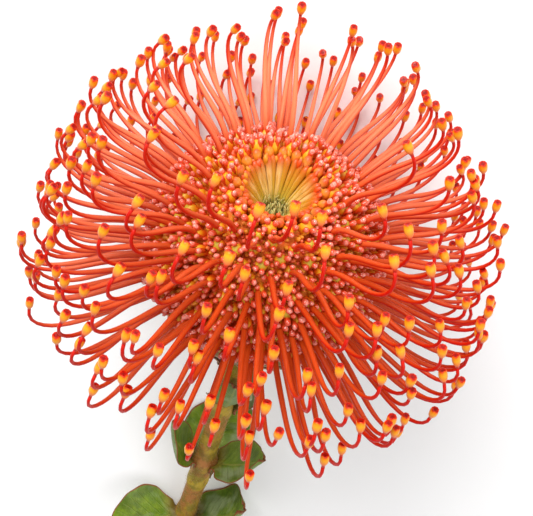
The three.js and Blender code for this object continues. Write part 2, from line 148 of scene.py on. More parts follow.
# %% From arrays to a mesh
def mesh_object(name, points, faces, maps, tone):
    """Points in flower mm, a list of (faces, corners) arrays, and their uv arrays, as a mesh."""
    mesh = bpy.data.meshes.new(name)
    corners = np.concatenate([block.ravel() for block in faces])
    sizes = np.concatenate([np.full(len(block), block.shape[1]) for block in faces])
    mesh.vertices.add(len(points))
    mesh.vertices.foreach_set("co", to_world(points).ravel())
    mesh.loops.add(len(corners))
    mesh.loops.foreach_set("vertex_index", corners.astype(np.int32))
    mesh.polygons.add(len(sizes))
    mesh.polygons.foreach_set("loop_start", (np.cumsum(sizes) - sizes).astype(np.int32))
    layer = mesh.uv_layers.new(name="along")
    layer.data.foreach_set("uv", np.concatenate([block.ravel() for block in maps]))
    tones = mesh.attributes.new("tone", "FLOAT", "POINT")
    tones.data.foreach_set("value", tone.astype(np.float32))
    mesh.update(calc_edges=True)
    mesh.shade_smooth()
    piece = bpy.data.objects.new(name, mesh)
    bpy.context.scene.collection.objects.link(piece)
    print(f"{name}: {len(points)} points, {(sizes - 2).sum()} triangles")
    return piece


# %% Skin a crowd of tubes
def tubes(name, rings, along, tone=None):
    """Skins tubes of (copies, rings, sides, 3) points, anticlockwise seen from the far end.
    `along` is v at each ring. A fan to the middle of the last ring closes each end."""
    copies, count, sides, _ = rings.shape
    along = np.broadcast_to(along, (copies, count))
    per_copy = count * sides + 2
    points = np.concatenate([rings.reshape(copies, -1, 3), rings[:, [0, -1]].mean(axis=2)], axis=1)
    side = np.arange(sides)
    following = (side + 1) % sides
    start = (np.arange(copies) * per_copy)[:, None, None]
    here = start + (np.arange(count - 1) * sides)[None, :, None]
    after = here + sides
    quads = np.stack([here + side, here + following, after + following, after + side], -1)
    u = np.broadcast_to(side / sides, quads.shape[:3])
    v = np.broadcast_to(along[:, :, None], (copies, count, sides))
    near, far = v[:, :-1], v[:, 1:]
    quad_map = np.stack([u, near, u + 1 / sides, near, u + 1 / sides, far, u, far], -1)
    faces, maps = [quads.reshape(-1, 4)], [quad_map]
    for ring, pole, order in ((0, 0, (1, 0)), (count - 1, 1, (0, 1))):
        rim = [start[:, 0] + ring * sides + step for step in (side, following)]
        centre = np.broadcast_to(start[:, 0] + count * sides + pole, rim[0].shape)
        faces.append(np.stack([rim[order[0]], rim[order[1]], centre], -1).reshape(-1, 3))
        around = [u[:, 0] + order[0] / sides, u[:, 0] + order[1] / sides, u[:, 0] + 0.5 / sides]
        pairs = [part for turn in around for part in (turn, v[:, ring])]
        maps.append(np.stack(pairs, -1))
    tones = draw(np.arange(copies), 31) if tone is None else np.broadcast_to(tone, copies)
    return mesh_object(name, points.reshape(-1, 3), faces, maps, np.repeat(tones, per_copy))


# %% Rings along a path
def rings_along(paths, radius, across, sides):
    """Round rings on (copies, rings, 3) paths. With t along the path and b across it:
    point = centre + r (cos a (t x b) - sin a b), so u = 0 is the side that faces the axis."""
    along = unit(np.gradient(paths, axis=1))
    across = unit(across - (across * along).sum(-1, keepdims=True) * along)
    inner = np.cross(along, across)
    angle = (TURN * np.arange(sides) / sides)[:, None]
    radius = np.broadcast_to(radius, paths.shape[:2])[..., None, None]
    spoke = np.cos(angle) * inner[:, :, None] - np.sin(angle) * across[:, :, None]
    return paths[:, :, None] + radius * spoke


# %% [markdown]
# ## Shader maths as Python
#
# A material is a small calculation on each point of the surface. `Wire` wraps one output socket,
# and `+ - * /` on it add Math nodes, so a mask reads like algebra. Colours must not go through
# Math nodes, which turn them grey, so `blend` uses a Mix node. `Finish.node` makes any other node.


# %% Wires
class Wire:
    """One output socket. Arithmetic on it adds Math nodes to its tree."""

    def __init__(self, finish, socket):
        self.finish = finish
        self.socket = socket

    def math(self, operation, first, second=0.0):
        return self.finish.node("ShaderNodeMath", {"operation": operation}, {0: first, 1: second})

    def __add__(self, other): return self.math("ADD", self, other)
    def __radd__(self, other): return self.math("ADD", other, self)
    def __sub__(self, other): return self.math("SUBTRACT", self, other)
    def __rsub__(self, other): return self.math("SUBTRACT", other, self)
    def __mul__(self, other): return self.math("MULTIPLY", self, other)
    def __rmul__(self, other): return self.math("MULTIPLY", other, self)
    def __abs__(self): return self.math("ABSOLUTE", self)
    def cosine(self): return self.math("COSINE", self)
    def fraction(self): return self.math("FRACT", self)

    def step(self, low, high):
        """0 below low, 1 above high, a smooth step between. low > high turns it round."""
        return self.finish.node("ShaderNodeMapRange", {"interpolation_type": "SMOOTHSTEP"},
                                {"Value": self, "From Min": low, "From Max": high})


# %% Finishes
class Finish:
    """One material with its Principled shader. Constants go straight onto the shader."""

    def __init__(self, name, **constants):
        self.material = bpy.data.materials.new(name)
        self.material.use_nodes = True
        self.tree = self.material.node_tree
        self.shader = self.tree.nodes["Principled BSDF"]
        for socket, value in constants.items():
            self.shader.inputs[socket.replace("_", " ")].default_value = value

    def node(self, kind, settings=None, inputs=None, output=0):
        """Adds a node: its settings first, then its inputs as numbers, colours or wires."""
        made = self.tree.nodes.new(kind)
        for setting, value in (settings or {}).items():
            setattr(made, setting, value)
        for socket, value in (inputs or {}).items():
            if isinstance(value, Wire):
                self.tree.links.new(value.socket, made.inputs[socket])
            else:
                made.inputs[socket].default_value = value
        return Wire(self, made.outputs[output])

    def uv(self):
        """The surface's own map as two numbers: around (or across) it, and along it."""
        where = self.node("ShaderNodeUVMap", {"uv_map": "along"})
        return [self.node("ShaderNodeSeparateXYZ", {}, {0: where}, axis) for axis in (0, 1)]

    def attribute(self, name):
        """A number that the mesh stores at each point."""
        return self.node("ShaderNodeAttribute", {"attribute_name": name}, {}, "Fac")

    def surface(self):
        """The surface's own map, and the tone of the copy that the point belongs to."""
        return (*self.uv(), self.attribute("tone"))

    def noise(self, where, detail):
        """Cloudy noise on 0..1 with blotches about one unit across."""
        inputs = {"Vector": where, "Scale": 1.0, "Detail": detail}
        return self.node("ShaderNodeTexNoise", {}, inputs)

    def grain(self, size):
        """Noise in Object coordinates, its blotches about `size` mm across."""
        where = self.node("ShaderNodeTexCoord", {}, {}, "Object")
        scaled = self.node("ShaderNodeVectorMath", {"operation": "MULTIPLY"},
                           {0: where, 1: (1 / (size * MM),) * 3})
        return self.noise(scaled, 3.0)

    def reach(self, way):
        """How far a point lies from the head's middle along a direction of the flower, in mm."""
        middle = to_world(np.zeros(3))
        world_way = (to_world(np.array(way, float)) - middle) / MM ** 2
        where = self.node("ShaderNodeTexCoord", {}, {}, "Object")
        from_middle = self.node("ShaderNodeVectorMath", {"operation": "SUBTRACT"},
                                {0: where, 1: tuple(middle)})
        return self.node("ShaderNodeVectorMath", {"operation": "DOT_PRODUCT"},
                         {0: from_middle, 1: tuple(world_way)}, "Value")

    def streaks(self, across, along, shift=0.0):
        """Noise on the surface's own map: `across` blotches round it, `along` along it. The
        shift is a third coordinate, so that no two copies have the same streaks."""
        u, v = self.uv()
        place = {0: u * across, 1: v * along, 2: shift}
        return self.noise(self.node("ShaderNodeCombineXYZ", {}, place), 2.0)

    def blend(self, share, first, second):
        """Mixes two colours by a share."""
        inputs = {0: share}
        for socket, colour in {6: first, 7: second}.items():
            inputs[socket] = colour if isinstance(colour, Wire) else (*colour, 1.0)
        return self.node("ShaderNodeMix", {"data_type": "RGBA"}, inputs, 2)

    def coats(self, ground, *coats):
        """Lays coats over a ground colour, each a share and a screen colour, the last on top."""
        colour = ground if isinstance(ground, Wire) else screen(*ground)
        for share, coat in coats:
            colour = self.blend(share, colour, screen(*coat))
        return colour

    def ramp(self, share, stops):
        """A colour ramp through [(place, red, green, blue), ...], in screen colours."""
        made = self.node("ShaderNodeValToRGB", {}, {0: share})
        elements = made.socket.node.color_ramp.elements
        elements[0].position, elements[1].position = stops[0][0], stops[-1][0]
        for place, *_ in stops[1:-1]:
            elements.new(place)
        for element, (_, *colour) in zip(elements, stops):
            element.color = (*screen(*colour), 1.0)
        return made

    def bump(self, relief, depth):
        """Relief on 0..1 as a bump `depth` millimetres high."""
        return self.node("ShaderNodeBump", {}, {"Height": relief, "Distance": depth * MM})

    def paint(self, **wires):
        """Links wires to the shader's own sockets and returns the material."""
        for socket, wire in wires.items():
            self.tree.links.new(wire.socket, self.shader.inputs[socket.replace("_", " ")])
        return self.material


# %% Colours, and dressing a piece
def screen(red, green, blue):
    """A screen colour of 0..255 as the linear light that a shader works in."""
    value = np.array([red, green, blue]) / 255
    return tuple(np.where(value <= 0.04045, value / 12.92, ((value + 0.055) / 1.055) ** 2.4))


def dress(piece, material, slot, *nodes):
    """Gives a piece its finish and its body, and hides the nodes that it stands for. The slot is
    not used.
    """
    piece.data.materials.append(material)
    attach(piece, "root")
    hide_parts(*nodes)
    print(f"{piece.name} wears {material.name} and stands for {', '.join(nodes)}")


# %% [markdown]
# ## Where the florets sit
#
# Florets fill the knob in the order of a sunflower: each is turned 137.5 degrees on from the one
# before, and lies a little further from the top, so that each has the same patch of surface.
# The middle of the face is turned eight degrees up to the light, which fades out down the sides.
# One floret in five of the upper ones still keeps its style inside, and two in five of the
# innermost. A ring of young florets, all crowns, stands between them and the hollow. The turn and
# the draws leave a few bare patches, and smaller late crowns fill those, the widest patch first.

# %% Numbers of the layout
FLORETS = 320
GOLDEN_ANGLE = np.radians(137.50776)
TURN_SPREAD = 0.06
POLAR_RANGE = np.radians([32, 116])
CUSHION_RADIUS = 26.0
HOLLOW_TURN = np.radians(8.0)
HOLLOW_FADE = np.radians([25, 85])
INNER_FLORETS, UPPER_FLORETS = 60, 150
YOUNG_COUNT = 18
YOUNG_POLAR = np.radians(26.0)
LATE_RANGE = np.radians([24, 119])
LATE_PLACES = 6000
HOLE = 2.75


def turned_up(points):
    """Turns points round the x axis by 8 degrees, fading with a smooth step between the polar
    angles 25 and 85: y' = y cos a - z sin a, z' = y sin a + z cos a."""
    x, y, z = np.moveaxis(points, -1, 0)
    slant = np.arccos(z / np.linalg.norm(points, axis=-1))
    angle = HOLLOW_TURN * (1 - smooth((slant - HOLLOW_FADE[0]) / np.diff(HOLLOW_FADE)[0]))
    cos, sin = np.cos(angle), np.sin(angle)
    return np.stack([x, y * cos - z * sin, y * sin + z * cos], -1)


# %% Places on the knob
def sphere_frames(out):
    """At a place on the knob: its polar angle and turn, and unit vectors down and around it."""
    polar_angle, turn = np.arccos(out[:, 2]), np.arctan2(out[:, 1], out[:, 0])
    down = polar(np.cos(polar_angle), turn, -np.sin(polar_angle))
    return polar_angle, turn, down, polar(1.0, turn + TURN / 4, 0.0)


def into_holes(taken):
    """Late crowns: of many places on the knob, takes the one farthest from all the crowns, again
    and again, until none is more than HOLE millimetres away."""
    place = np.arange(LATE_PLACES)
    slant = np.arccos(mix(np.cos(LATE_RANGE), (place + 0.5) / LATE_PLACES))
    places = turned_up(polar(np.sin(slant), place * GOLDEN_ANGLE, np.cos(slant)))
    away = np.linalg.norm(places[:, None] - taken, axis=-1).min(axis=1)
    late = []
    while away.max() > HOLE / CUSHION_RADIUS:
        late.append(places[away.argmax()])
        away = np.minimum(away, np.linalg.norm(places - late[-1], axis=-1))
    return np.array(late)


# %% Put the florets in their places
floret = np.arange(FLORETS)
even_turn = floret * GOLDEN_ANGLE + (draw(floret, 1) - 0.5) * TURN_SPREAD
even_polar = np.arccos(mix(np.cos(POLAR_RANGE), (floret + 0.5) / FLORETS))
outwardness = (even_polar - POLAR_RANGE[0]) / np.diff(POLAR_RANGE)[0]
young_turn = TURN * (np.arange(YOUNG_COUNT) + 0.5) / YOUNG_COUNT
early_out = turned_up(np.concatenate([
    polar(np.sin(even_polar), even_turn, np.cos(even_polar)),
    polar(np.sin(YOUNG_POLAR), young_turn, np.cos(YOUNG_POLAR))]))
late_out = into_holes(early_out)
crown_out = np.concatenate([early_out, late_out])
crown_polar, crown_turn, crown_down, crown_around = sphere_frames(crown_out)
in_five = floret % 5
upper_back = (in_five == 3) & (floret < UPPER_FLORETS)
inner_back = (in_five == 1) & (floret < INNER_FLORETS)
styled = floret[~(upper_back | inner_back)]
patch = TURN * CUSHION_RADIUS ** 2 * -np.diff(np.cos(POLAR_RANGE))[0] / FLORETS
print(f"{FLORETS} florets, each with {patch:.1f} mm2 of the knob, {len(styled)} with styles")
print(f"{len(late_out)} late crowns fill the holes between them")

# %% [markdown]
# ## Styles
#
# A style leaves its floret, bends outward over its neighbours, and near its end bends up again.
# Its lean from the flower's axis is one formula in the share of its length, and adding up the
# steps of that lean gives the path. The same formula made the frame's solids, so that the fine
# styles lie inside them. Some styles lie on the table, and are pressed flat along it.

# %% Numbers of the styles
STYLE_LENGTH = np.array([28.5, 37.5])
LENGTH_SPREAD = 5.0
ROOT_LEAN, KNEE_LEAN, TIP_LEAN = np.array([[26, 112], [50, 117], [-28, -10]])
ROOT_LEAN_SPREAD, KNEE_LEAN_SPREAD, TIP_LEAN_SPREAD = 16, 20, 34
KNEE_AT = np.array([0.3, 0.4])
HOOK_ENDS_AT = 0.88
HOOK_POWER = 2.2
SWAY = 6.0
TIP_SWAY = 3.0
PATH_STEPS = 40


# %% Work out the paths
def spread(purpose, width):
    """One draw for each style, from minus half the width to plus half."""
    return ((draw(styled, purpose) - 0.5) * width)[:, None]


def style_paths():
    """lean(s) = root + (knee - root) smooth(s / k) + (tip - knee) ((s - k) / (0.88 - k))^2.2;
    the path adds up sin(lean) outward and cos(lean) along the axis, and sways sideways."""
    outward = outwardness[styled, None]
    share = np.linspace(0, 1, PATH_STEPS + 1)[None]
    knee_at = mix(KNEE_AT, draw(styled, 5))[:, None]
    root = mix(ROOT_LEAN, outward) + spread(2, ROOT_LEAN_SPREAD)
    knee = mix(KNEE_LEAN, outward) + spread(3, KNEE_LEAN_SPREAD)
    tip = mix(TIP_LEAN, outward) + spread(4, TIP_LEAN_SPREAD)
    length = mix(STYLE_LENGTH, outward) + spread(6, LENGTH_SPREAD)
    hook = np.clip((share - knee_at) / (HOOK_ENDS_AT - knee_at), 0, 1) ** HOOK_POWER
    lean = np.radians(root + (knee - root) * smooth(share / knee_at) + (tip - knee) * hook)
    steps = np.stack([np.sin(lean), np.cos(lean)], -1)
    middles = (steps[:, 1:] + steps[:, :-1]) / 2
    walked = np.cumsum(middles, axis=1) * (length / PATH_STEPS)[..., None]
    walked = np.concatenate([np.zeros((len(styled), 1, 2)), walked], axis=1)
    slant = crown_polar[styled]
    foot = CUSHION_RADIUS * np.stack([np.sin(slant), np.cos(slant)], -1)[:, None]
    radius, z = np.moveaxis(foot + walked, -1, 0)
    aside = spread(7, SWAY) * smooth(share) + spread(8, TIP_SWAY) * share
    turn = crown_turn[styled, None]
    return polar(radius, turn, z) + polar(aside, turn + TURN / 4, np.zeros_like(z)), length[:, 0]


def along_paths(paths, shares):
    """Points at (copies, stations) shares of each path's length, between its own points."""
    place = np.clip(shares, 0, 1) * (paths.shape[1] - 1)
    index = np.minimum(place.astype(int), paths.shape[1] - 2)
    rest = (place - index)[..., None]
    copy = np.arange(len(paths))[:, None]
    return paths[copy, index] * (1 - rest) + paths[copy, index + 1] * rest


style_path, style_length = style_paths()
print(f"styles are {style_length.min():.1f} to {style_length.max():.1f} mm long")

# %% Skin the styles
SHAFT_RINGS = 19
SHAFT_SIDES = 6
SHAFT_RADII = [(0.0, 0.70), (0.25, 0.68), (0.5, 0.60), (0.72, 0.47), (0.9, 0.41), (1.0, 0.39)]
ROOT_DEPTH = 2.0
PRESENTER_LENGTH = 3.4
PRESSED_DEPTH = 0.06

shaft_share = np.linspace(0, 1, SHAFT_RINGS)
free_radius = curve_through(SHAFT_RADII, shaft_share)
shaft_ends = 1 - PRESENTER_LENGTH / style_length
free_path = along_paths(style_path, shaft_share[None] * shaft_ends[:, None])
style_around = crown_around[styled]
style_root = (CUSHION_RADIUS - ROOT_DEPTH) * crown_out[styled]
shaft_radius = np.concatenate([free_radius[:1], free_radius])
shaft = np.concatenate([style_root[:, None], free_path], axis=1)
shaft = keep_above(shaft, shaft_radius - PRESSED_DEPTH)
shaft_rings = rings_along(shaft, shaft_radius, style_around[:, None], SHAFT_SIDES)
styles = tubes("styles", rest_on_surface(shaft_rings), np.concatenate([[0], shaft_share]))

# %% [markdown]
# The side of a style that faces the flower's axis is salmon, and its outer side is red. The map's
# u runs round the style from its inner side, so a cosine of u is all the mask needs. Light comes
# through the thin styles on the far side of the head, which makes them paler, so a second mask
# grows from the near side to the far side. Every style is reddest where it hooks round.

# %% Finish of the styles
NEAR_SALMON, FAR_SALMON = screen(202, 70, 16), screen(248, 134, 92)
NEAR_RED, FAR_RED = screen(200, 20, 0), screen(218, 54, 18)
STYLE_FOOT, STYLE_HOOK = (206, 80, 12), (200, 20, 0)

finish = Finish("style_skin", Roughness=0.38, Specular_IOR_Level=0.2, Subsurface_Weight=0.12,
                Subsurface_Scale=0.0008, Subsurface_Radius=(1.0, 0.3, 0.15))
u, v, tone = finish.surface()
facing = 0.5 + 0.5 * (u * TURN).cosine()
lines = finish.streaks(9, 3, tone * 7)
hooked = 0.45 * v.step(0.45, 0.85)
inner_side = (facing + 0.25 * (lines - 0.5) + 0.3 * (tone - 0.5) - hooked).step(0.2, 0.9)
far = (finish.reach((-0.35, 0.94, 0)) + 8 * (tone - 0.5)).step(-36, 46)
salmon = finish.blend(far, NEAR_SALMON, FAR_SALMON)
red = finish.blend(far, NEAR_RED, FAR_RED)
colour = finish.coats(
    finish.blend(inner_side, red, salmon),
    (v.step(0.22, 0.0) * 0.6, STYLE_FOOT),
    (v.step(0.84, 0.98) * 0.8, STYLE_HOOK),
)
style_skin = finish.paint(Base_Color=colour, Normal=finish.bump(lines, 0.06))
dress(styles, style_skin, "floret_orange", "flower_head")

# %% [markdown]
# ## Pollen presenters
#
# Before the floret opens, the tip of its style takes up the pollen. The tip is a small barrel on
# a thin red neck: yellow-orange, with a red rim and a dark red stigma in its flat top. A lathe
# profile carried along the last millimetres of each path gives all of them at once.

# %% Skin the presenters
PRESENTER_SIDES = 8
# Distance back from the tip and radius, in mm, and the share v from neck to stigma.
PRESENTER_PROFILE = np.array([
    [3.50, 0.37, 0.00], [3.00, 0.46, 0.12], [2.50, 0.76, 0.26], [1.90, 0.96, 0.42],
    [1.20, 1.02, 0.60], [0.50, 0.97, 0.78], [0.06, 0.88, 0.86], [0.00, 0.62, 0.91],
    [0.22, 0.38, 0.95], [0.06, 0.14, 1.00],
])
NECK_SHARE = 0.3

back, profile_radius, presenter_share = PRESENTER_PROFILE.T
presenter_radius = profile_radius[None] * (0.92 + 0.16 * draw(styled, 12)[:, None])
# The neck follows the style's own curve, and the barrel stands straight on it.
curved_axis = along_paths(style_path, 1 - back[None] / style_length[:, None])
tip_way = unit(style_path[:, -1] - style_path[:, -4])
straight_axis = style_path[:, -1:] - back[None, :, None] * tip_way[:, None]
straightness = smooth(presenter_share / NECK_SHARE)[None, :, None]
presenter_axis = curved_axis * (1 - straightness) + straight_axis * straightness
presenter_axis = keep_above(presenter_axis, presenter_radius - PRESSED_DEPTH)
angle = (TURN * np.arange(PRESENTER_SIDES) / PRESENTER_SIDES)[:, None]
sideways = unit(style_around - (style_around * tip_way).sum(-1, keepdims=True) * tip_way)
sideways = sideways[:, None, None]
inner = np.cross(tip_way[:, None, None], sideways)
spokes = np.cos(angle) * inner - np.sin(angle) * sideways
presenter_rings = presenter_axis[:, :, None] + presenter_radius[..., None, None] * spokes
presenters = tubes("pollen_presenters", rest_on_surface(presenter_rings), presenter_share)

# %% Finish of the presenters
PRESENTER_RAMP = [
    (0.00, 204, 26, 8), (0.12, 214, 50, 20), (0.26, 240, 122, 66), (0.44, 244, 146, 52),
    (0.64, 248, 168, 26), (0.80, 242, 136, 12), (0.85, 226, 70, 6), (0.89, 188, 22, 2),
    (1.00, 132, 6, 2),
]
finish = Finish("presenter_skin", Roughness=0.3, Specular_IOR_Level=0.25, Subsurface_Weight=0.15,
                Subsurface_Scale=0.0008, Subsurface_Radius=(1.0, 0.5, 0.2))
u, v, tone = finish.surface()
lobes = (u * (4 * TURN) + tone * 6).cosine()
mottle = finish.grain(0.5)
edge = v + 0.022 * lobes * v.step(0.6, 0.8) + 0.04 * (mottle - 0.5)
colour = finish.ramp(edge, PRESENTER_RAMP)
presenter_skin = finish.paint(Base_Color=colour, Normal=finish.bump(mottle, 0.05))
dress(presenters, presenter_skin, "floret_orange", "flower_head")

# %% [markdown]
# ## The cushion
#
# Under the styles sit the florets' short tubes, swollen near the top, each with a crown of four
# limbs that curl back into glossy pink beads. Between the tubes one looks down to the knob.
# Tubes and limbs are crowds as well, laid out in each floret's own frame: out, down and around.

# %% The floret tubes
TUBE_SIDES = 8
# Distance from the knob's middle, tube radius, and the share v, from its foot to its closed top.
TUBE_PROFILE = np.array([
    [21.00, 0.70, 0.00], [23.40, 0.85, 0.35], [24.80, 1.02, 0.58], [25.80, 1.06, 0.72],
    [26.50, 0.92, 0.84], [26.95, 0.62, 0.93], [27.15, 0.25, 1.00],
])
TUBE_LIFT = 1.6
EARLY_SIZE, LATE_SIZE = 1.3, 0.95

CROWNS = len(crown_out)
crown = np.arange(CROWNS)
young = (crown >= FLORETS) & (crown < len(early_out))
reach, tube_radius, tube_share = TUBE_PROFILE.T
tube_lift = (draw(crown, 14) - 0.5) * TUBE_LIFT
tube_path = (reach[None] + tube_lift[:, None] * tube_share)[..., None] * crown_out[:, None]
crown_size = np.where(crown < len(early_out), EARLY_SIZE, LATE_SIZE)
crown_size = crown_size * (0.9 + 0.2 * draw(crown, 15))
tube_width = tube_radius[None] * crown_size[:, None]
tube_rings = rings_along(tube_path, tube_width, crown_around[:, None], TUBE_SIDES)
# A tone of 1 marks the young florets, which are yellow.
tube_tone = np.where(young, 1.0, 0.8 * draw(crown, 31))
floret_tubes = tubes("floret_tubes", rest_on_surface(tube_rings), tube_share, tube_tone)

# %% The curled limbs
LIMBS = 4
LIMB_SIDES = 6
# Distance from the floret's axis, height above the knob's 26 mm, radius, and the share v.
LIMB_PROFILE = np.array([
    [0.72, -0.90, 0.34, 0.00], [0.80, 0.00, 0.40, 0.25], [0.86, 0.65, 0.47, 0.50],
    [0.98, 1.14, 0.52, 0.72], [1.20, 1.34, 0.46, 0.90], [1.36, 1.24, 0.22, 1.00],
])


def beside_florets(owner, angle, reach, away, radius, sides):
    """Rings on paths beside their florets, at an angle round each floret's own axis:
    point = reach out + away (cos(angle) down + sin(angle) around)."""
    out, angle = crown_out[owner], angle[:, None]
    way = np.cos(angle) * crown_down[owner] + np.sin(angle) * crown_around[owner]
    path = reach[..., None] * out[:, None] + away[..., None] * way[:, None]
    return rest_on_surface(rings_along(path, radius, np.cross(out, way)[:, None], sides))


away, rise, limb_radius, limb_share = LIMB_PROFILE.T
limb = np.arange(CROWNS * LIMBS)
owner = limb // LIMBS
limb_turn = (limb % LIMBS) + 0.5 * draw(owner, 16) + 0.3 * (draw(limb, 17) - 0.5)
limb_size = (crown_size[owner] * (0.88 + 0.24 * draw(limb, 18)))[:, None]
limb_reach = CUSHION_RADIUS + rise[None] * limb_size + tube_lift[owner][:, None]
limb_rings = beside_florets(owner, TURN * limb_turn / LIMBS, limb_reach, away[None] * limb_size,
                            limb_radius[None] * limb_size, LIMB_SIDES)
limbs = tubes("perianth_limbs", limb_rings, limb_share)

# %% [markdown]
# The lower parts of the limbs, the claws, hang between the tubes as narrow straps. They fill the
# gaps between neighbouring florets, so there are more of them than a floret has, each with few
# faces: it stands beside its floret, bows out by a sine, and ends just under the crown.

# %% The claws between the tubes
CLAWS = 7
CLAW_SIDES = 4
CLAW_FOOT, CLAW_HEIGHT = 21.5, 3.2
CLAW_GAP, CLAW_BOW = 1.2, 1.1
CLAW_RADII = np.array([0.36, 0.42, 0.46, 0.50, 0.56, 0.22])

claw = np.arange(CROWNS * CLAWS)
claw_owner = claw // CLAWS
claw_turn = (claw % CLAWS) + 0.8 * draw(claw, 22)
claw_share = np.linspace(0, 1, len(CLAW_RADII))
claw_reach = CLAW_FOOT + claw_share[None] * (CLAW_HEIGHT + 1.3 * draw(claw, 23)[:, None])
bow = 0.7 + 0.6 * draw(claw, 24)[:, None]
claw_away = CLAW_GAP + CLAW_BOW * np.sin(np.pi * 0.62 * claw_share)[None] * bow
claw_away = claw_away * np.where(young, 1.4, 1.1)[claw_owner, None]
claw_radius = CLAW_RADII * (0.85 + 0.4 * draw(claw, 25)[:, None])
claw_rings = beside_florets(claw_owner, TURN * claw_turn / CLAWS, claw_reach, claw_away,
                            claw_radius, CLAW_SIDES)
claws = tubes("perianth_claws", claw_rings, claw_share)

# %% The knob under the florets
KNOB_SIDES = 64
KNOB_RADIUS = 24.0
dome_polar = np.radians(np.linspace(26, 118, 30))
KNOB_PROFILE = np.concatenate([
    [[0.3, 12.6], [3.0, 12.8], [5.0, 15.6], [7.4, 18.6]],
    KNOB_RADIUS * np.stack([np.sin(dome_polar), np.cos(dome_polar)], -1),
    [[19.8, -13.4], [15.8, -16.8], [9.0, -19.6], [0.3, -19.9]],
])


def lathe(profile, sides):
    """One surface of revolution, as rings for `tubes`; the profile runs down its outside."""
    angle = -TURN * np.arange(sides) / sides
    return polar(profile[:, :1], angle[None], profile[:, 1:])[None]


knob_rings = turned_up(lathe(KNOB_PROFILE, KNOB_SIDES))
knob = tubes("receptacle", knob_rings, np.linspace(0, 1, len(KNOB_PROFILE)))

# %% [markdown]
# A tube is orange low down and yellow-green at its tip, so a ramp on v gives its colour, and
# streaks of redder orange lie over it as a coat: a mask, and the colour that it brings. The limbs
# go from orange to shell pink at their curled ends and look wet, and the claws turn olive in
# patches. The knob shows only as specks between them.

# %% Finish of the tubes
TUBE_RAMP = [
    (0.00, 222, 88, 14), (0.40, 226, 84, 14), (0.62, 228, 112, 18), (0.76, 226, 148, 24),
    (0.90, 222, 172, 40), (1.00, 186, 168, 50),
]
finish = Finish("floret_tube_skin", Roughness=0.35, Specular_IOR_Level=0.35,
                Subsurface_Weight=0.1, Subsurface_Scale=0.0008, Subsurface_Radius=(1.0, 0.4, 0.2))
u, v, tone = finish.surface()
lines = finish.streaks(8, 3, tone * 9)
redder = (tone + 0.6 * (lines - 0.5)).step(0.35, 0.9) * v.step(0.9, 0.6)
young_yellow = tone.step(0.9, 1.0) * v.step(0.3, 0.65)
colour = finish.coats(
    finish.ramp(v + 0.2 * (lines - 0.5), TUBE_RAMP),
    (redder * 0.7, (214, 44, 8)),
    (young_yellow, (238, 164, 26)),
)
tube_skin = finish.paint(Base_Color=colour, Normal=finish.bump(lines, 0.12))
dress(floret_tubes, tube_skin, "floret_orange", "flower_head")

# %% Finish of the limbs
LIMB_RAMP = [
    (0.00, 222, 84, 18), (0.45, 220, 74, 26), (0.70, 222, 80, 46), (0.86, 226, 98, 72),
    (0.95, 240, 154, 136), (1.00, 236, 138, 118),
]
finish = Finish("limb_skin", Roughness=0.14, Specular_IOR_Level=0.9, Subsurface_Weight=0.2,
                Subsurface_Scale=0.0006, Subsurface_Radius=(1.0, 0.4, 0.3))
u, v, tone = finish.surface()
mottle = finish.grain(0.6)
colour = finish.ramp(v + 0.2 * (tone - 0.5) + 0.15 * (mottle - 0.5), LIMB_RAMP)
limb_skin = finish.paint(Base_Color=colour, Normal=finish.bump(mottle, 0.08))
dress(limbs, limb_skin, "floret_orange", "flower_head")

# %% Finish of the claws
CLAW_RAMP = [
    (0.00, 222, 104, 16), (0.40, 224, 84, 14), (0.70, 226, 76, 18), (0.86, 224, 84, 38),
    (0.96, 230, 112, 80), (1.00, 224, 96, 62),
]
finish = Finish("claw_skin", Roughness=0.4, Specular_IOR_Level=0.3)
u, v, tone = finish.surface()
olive = (finish.grain(6.0) + 0.9 * (tone - 0.5)).step(0.38, 0.62)
ground = finish.ramp(v + 0.1 * (tone - 0.5), CLAW_RAMP)
colour = finish.coats(ground, (olive * 0.75, (214, 150, 28)))
claw_skin = finish.paint(Base_Color=colour)
dress(claws, claw_skin, "floret_orange", "flower_head")

# %% Finish of the knob
KNOB_RAMP = [
    (0.30, 220, 140, 26), (0.55, 226, 100, 18), (0.75, 220, 72, 14),
]
finish = Finish("knob_skin", Roughness=0.7)
colour = finish.ramp(finish.grain(2.2), KNOB_RAMP)
knob_skin = finish.paint(Base_Color=colour, Normal=finish.bump(finish.grain(0.8), 0.5))
dress(knob, knob_skin, "floret_orange", "flower_head")

# %% [markdown]
# ## The unopened middle
#
# The youngest florets stand in the middle of the head and haven't opened. They lean together into
# a funnel: pale yellow-olive strands run down its wall to a pale tuft at the bottom, and their
# round ends make the funnel's rim. Each is a club, a tube that swells at its end.

# %% The young florets and the funnel
STRANDS, BUD_KNOBS = 32, 20
BUD_SIDES = 8
STRAND_CLUB = [(0.0, 0.30), (0.35, 0.52), (0.72, 0.80), (0.90, 0.86), (0.97, 0.66), (1.0, 0.25)]
BUD_KNOB_CLUB = [(0.0, 0.40), (0.45, 0.62), (0.72, 0.98), (0.88, 1.10), (0.96, 0.84), (1.0, 0.35)]
STRAND_LINE = [(0.0, 2.2, 13.8), (0.35, 4.1, 17.2), (0.72, 6.9, 21.0), (1.0, 8.6, 23.4)]
BUD_KNOB_LINE = [(0.0, 5.6, 16.8), (0.35, 7.2, 19.2), (0.72, 9.1, 22.0), (1.0, 10.2, 24.4)]


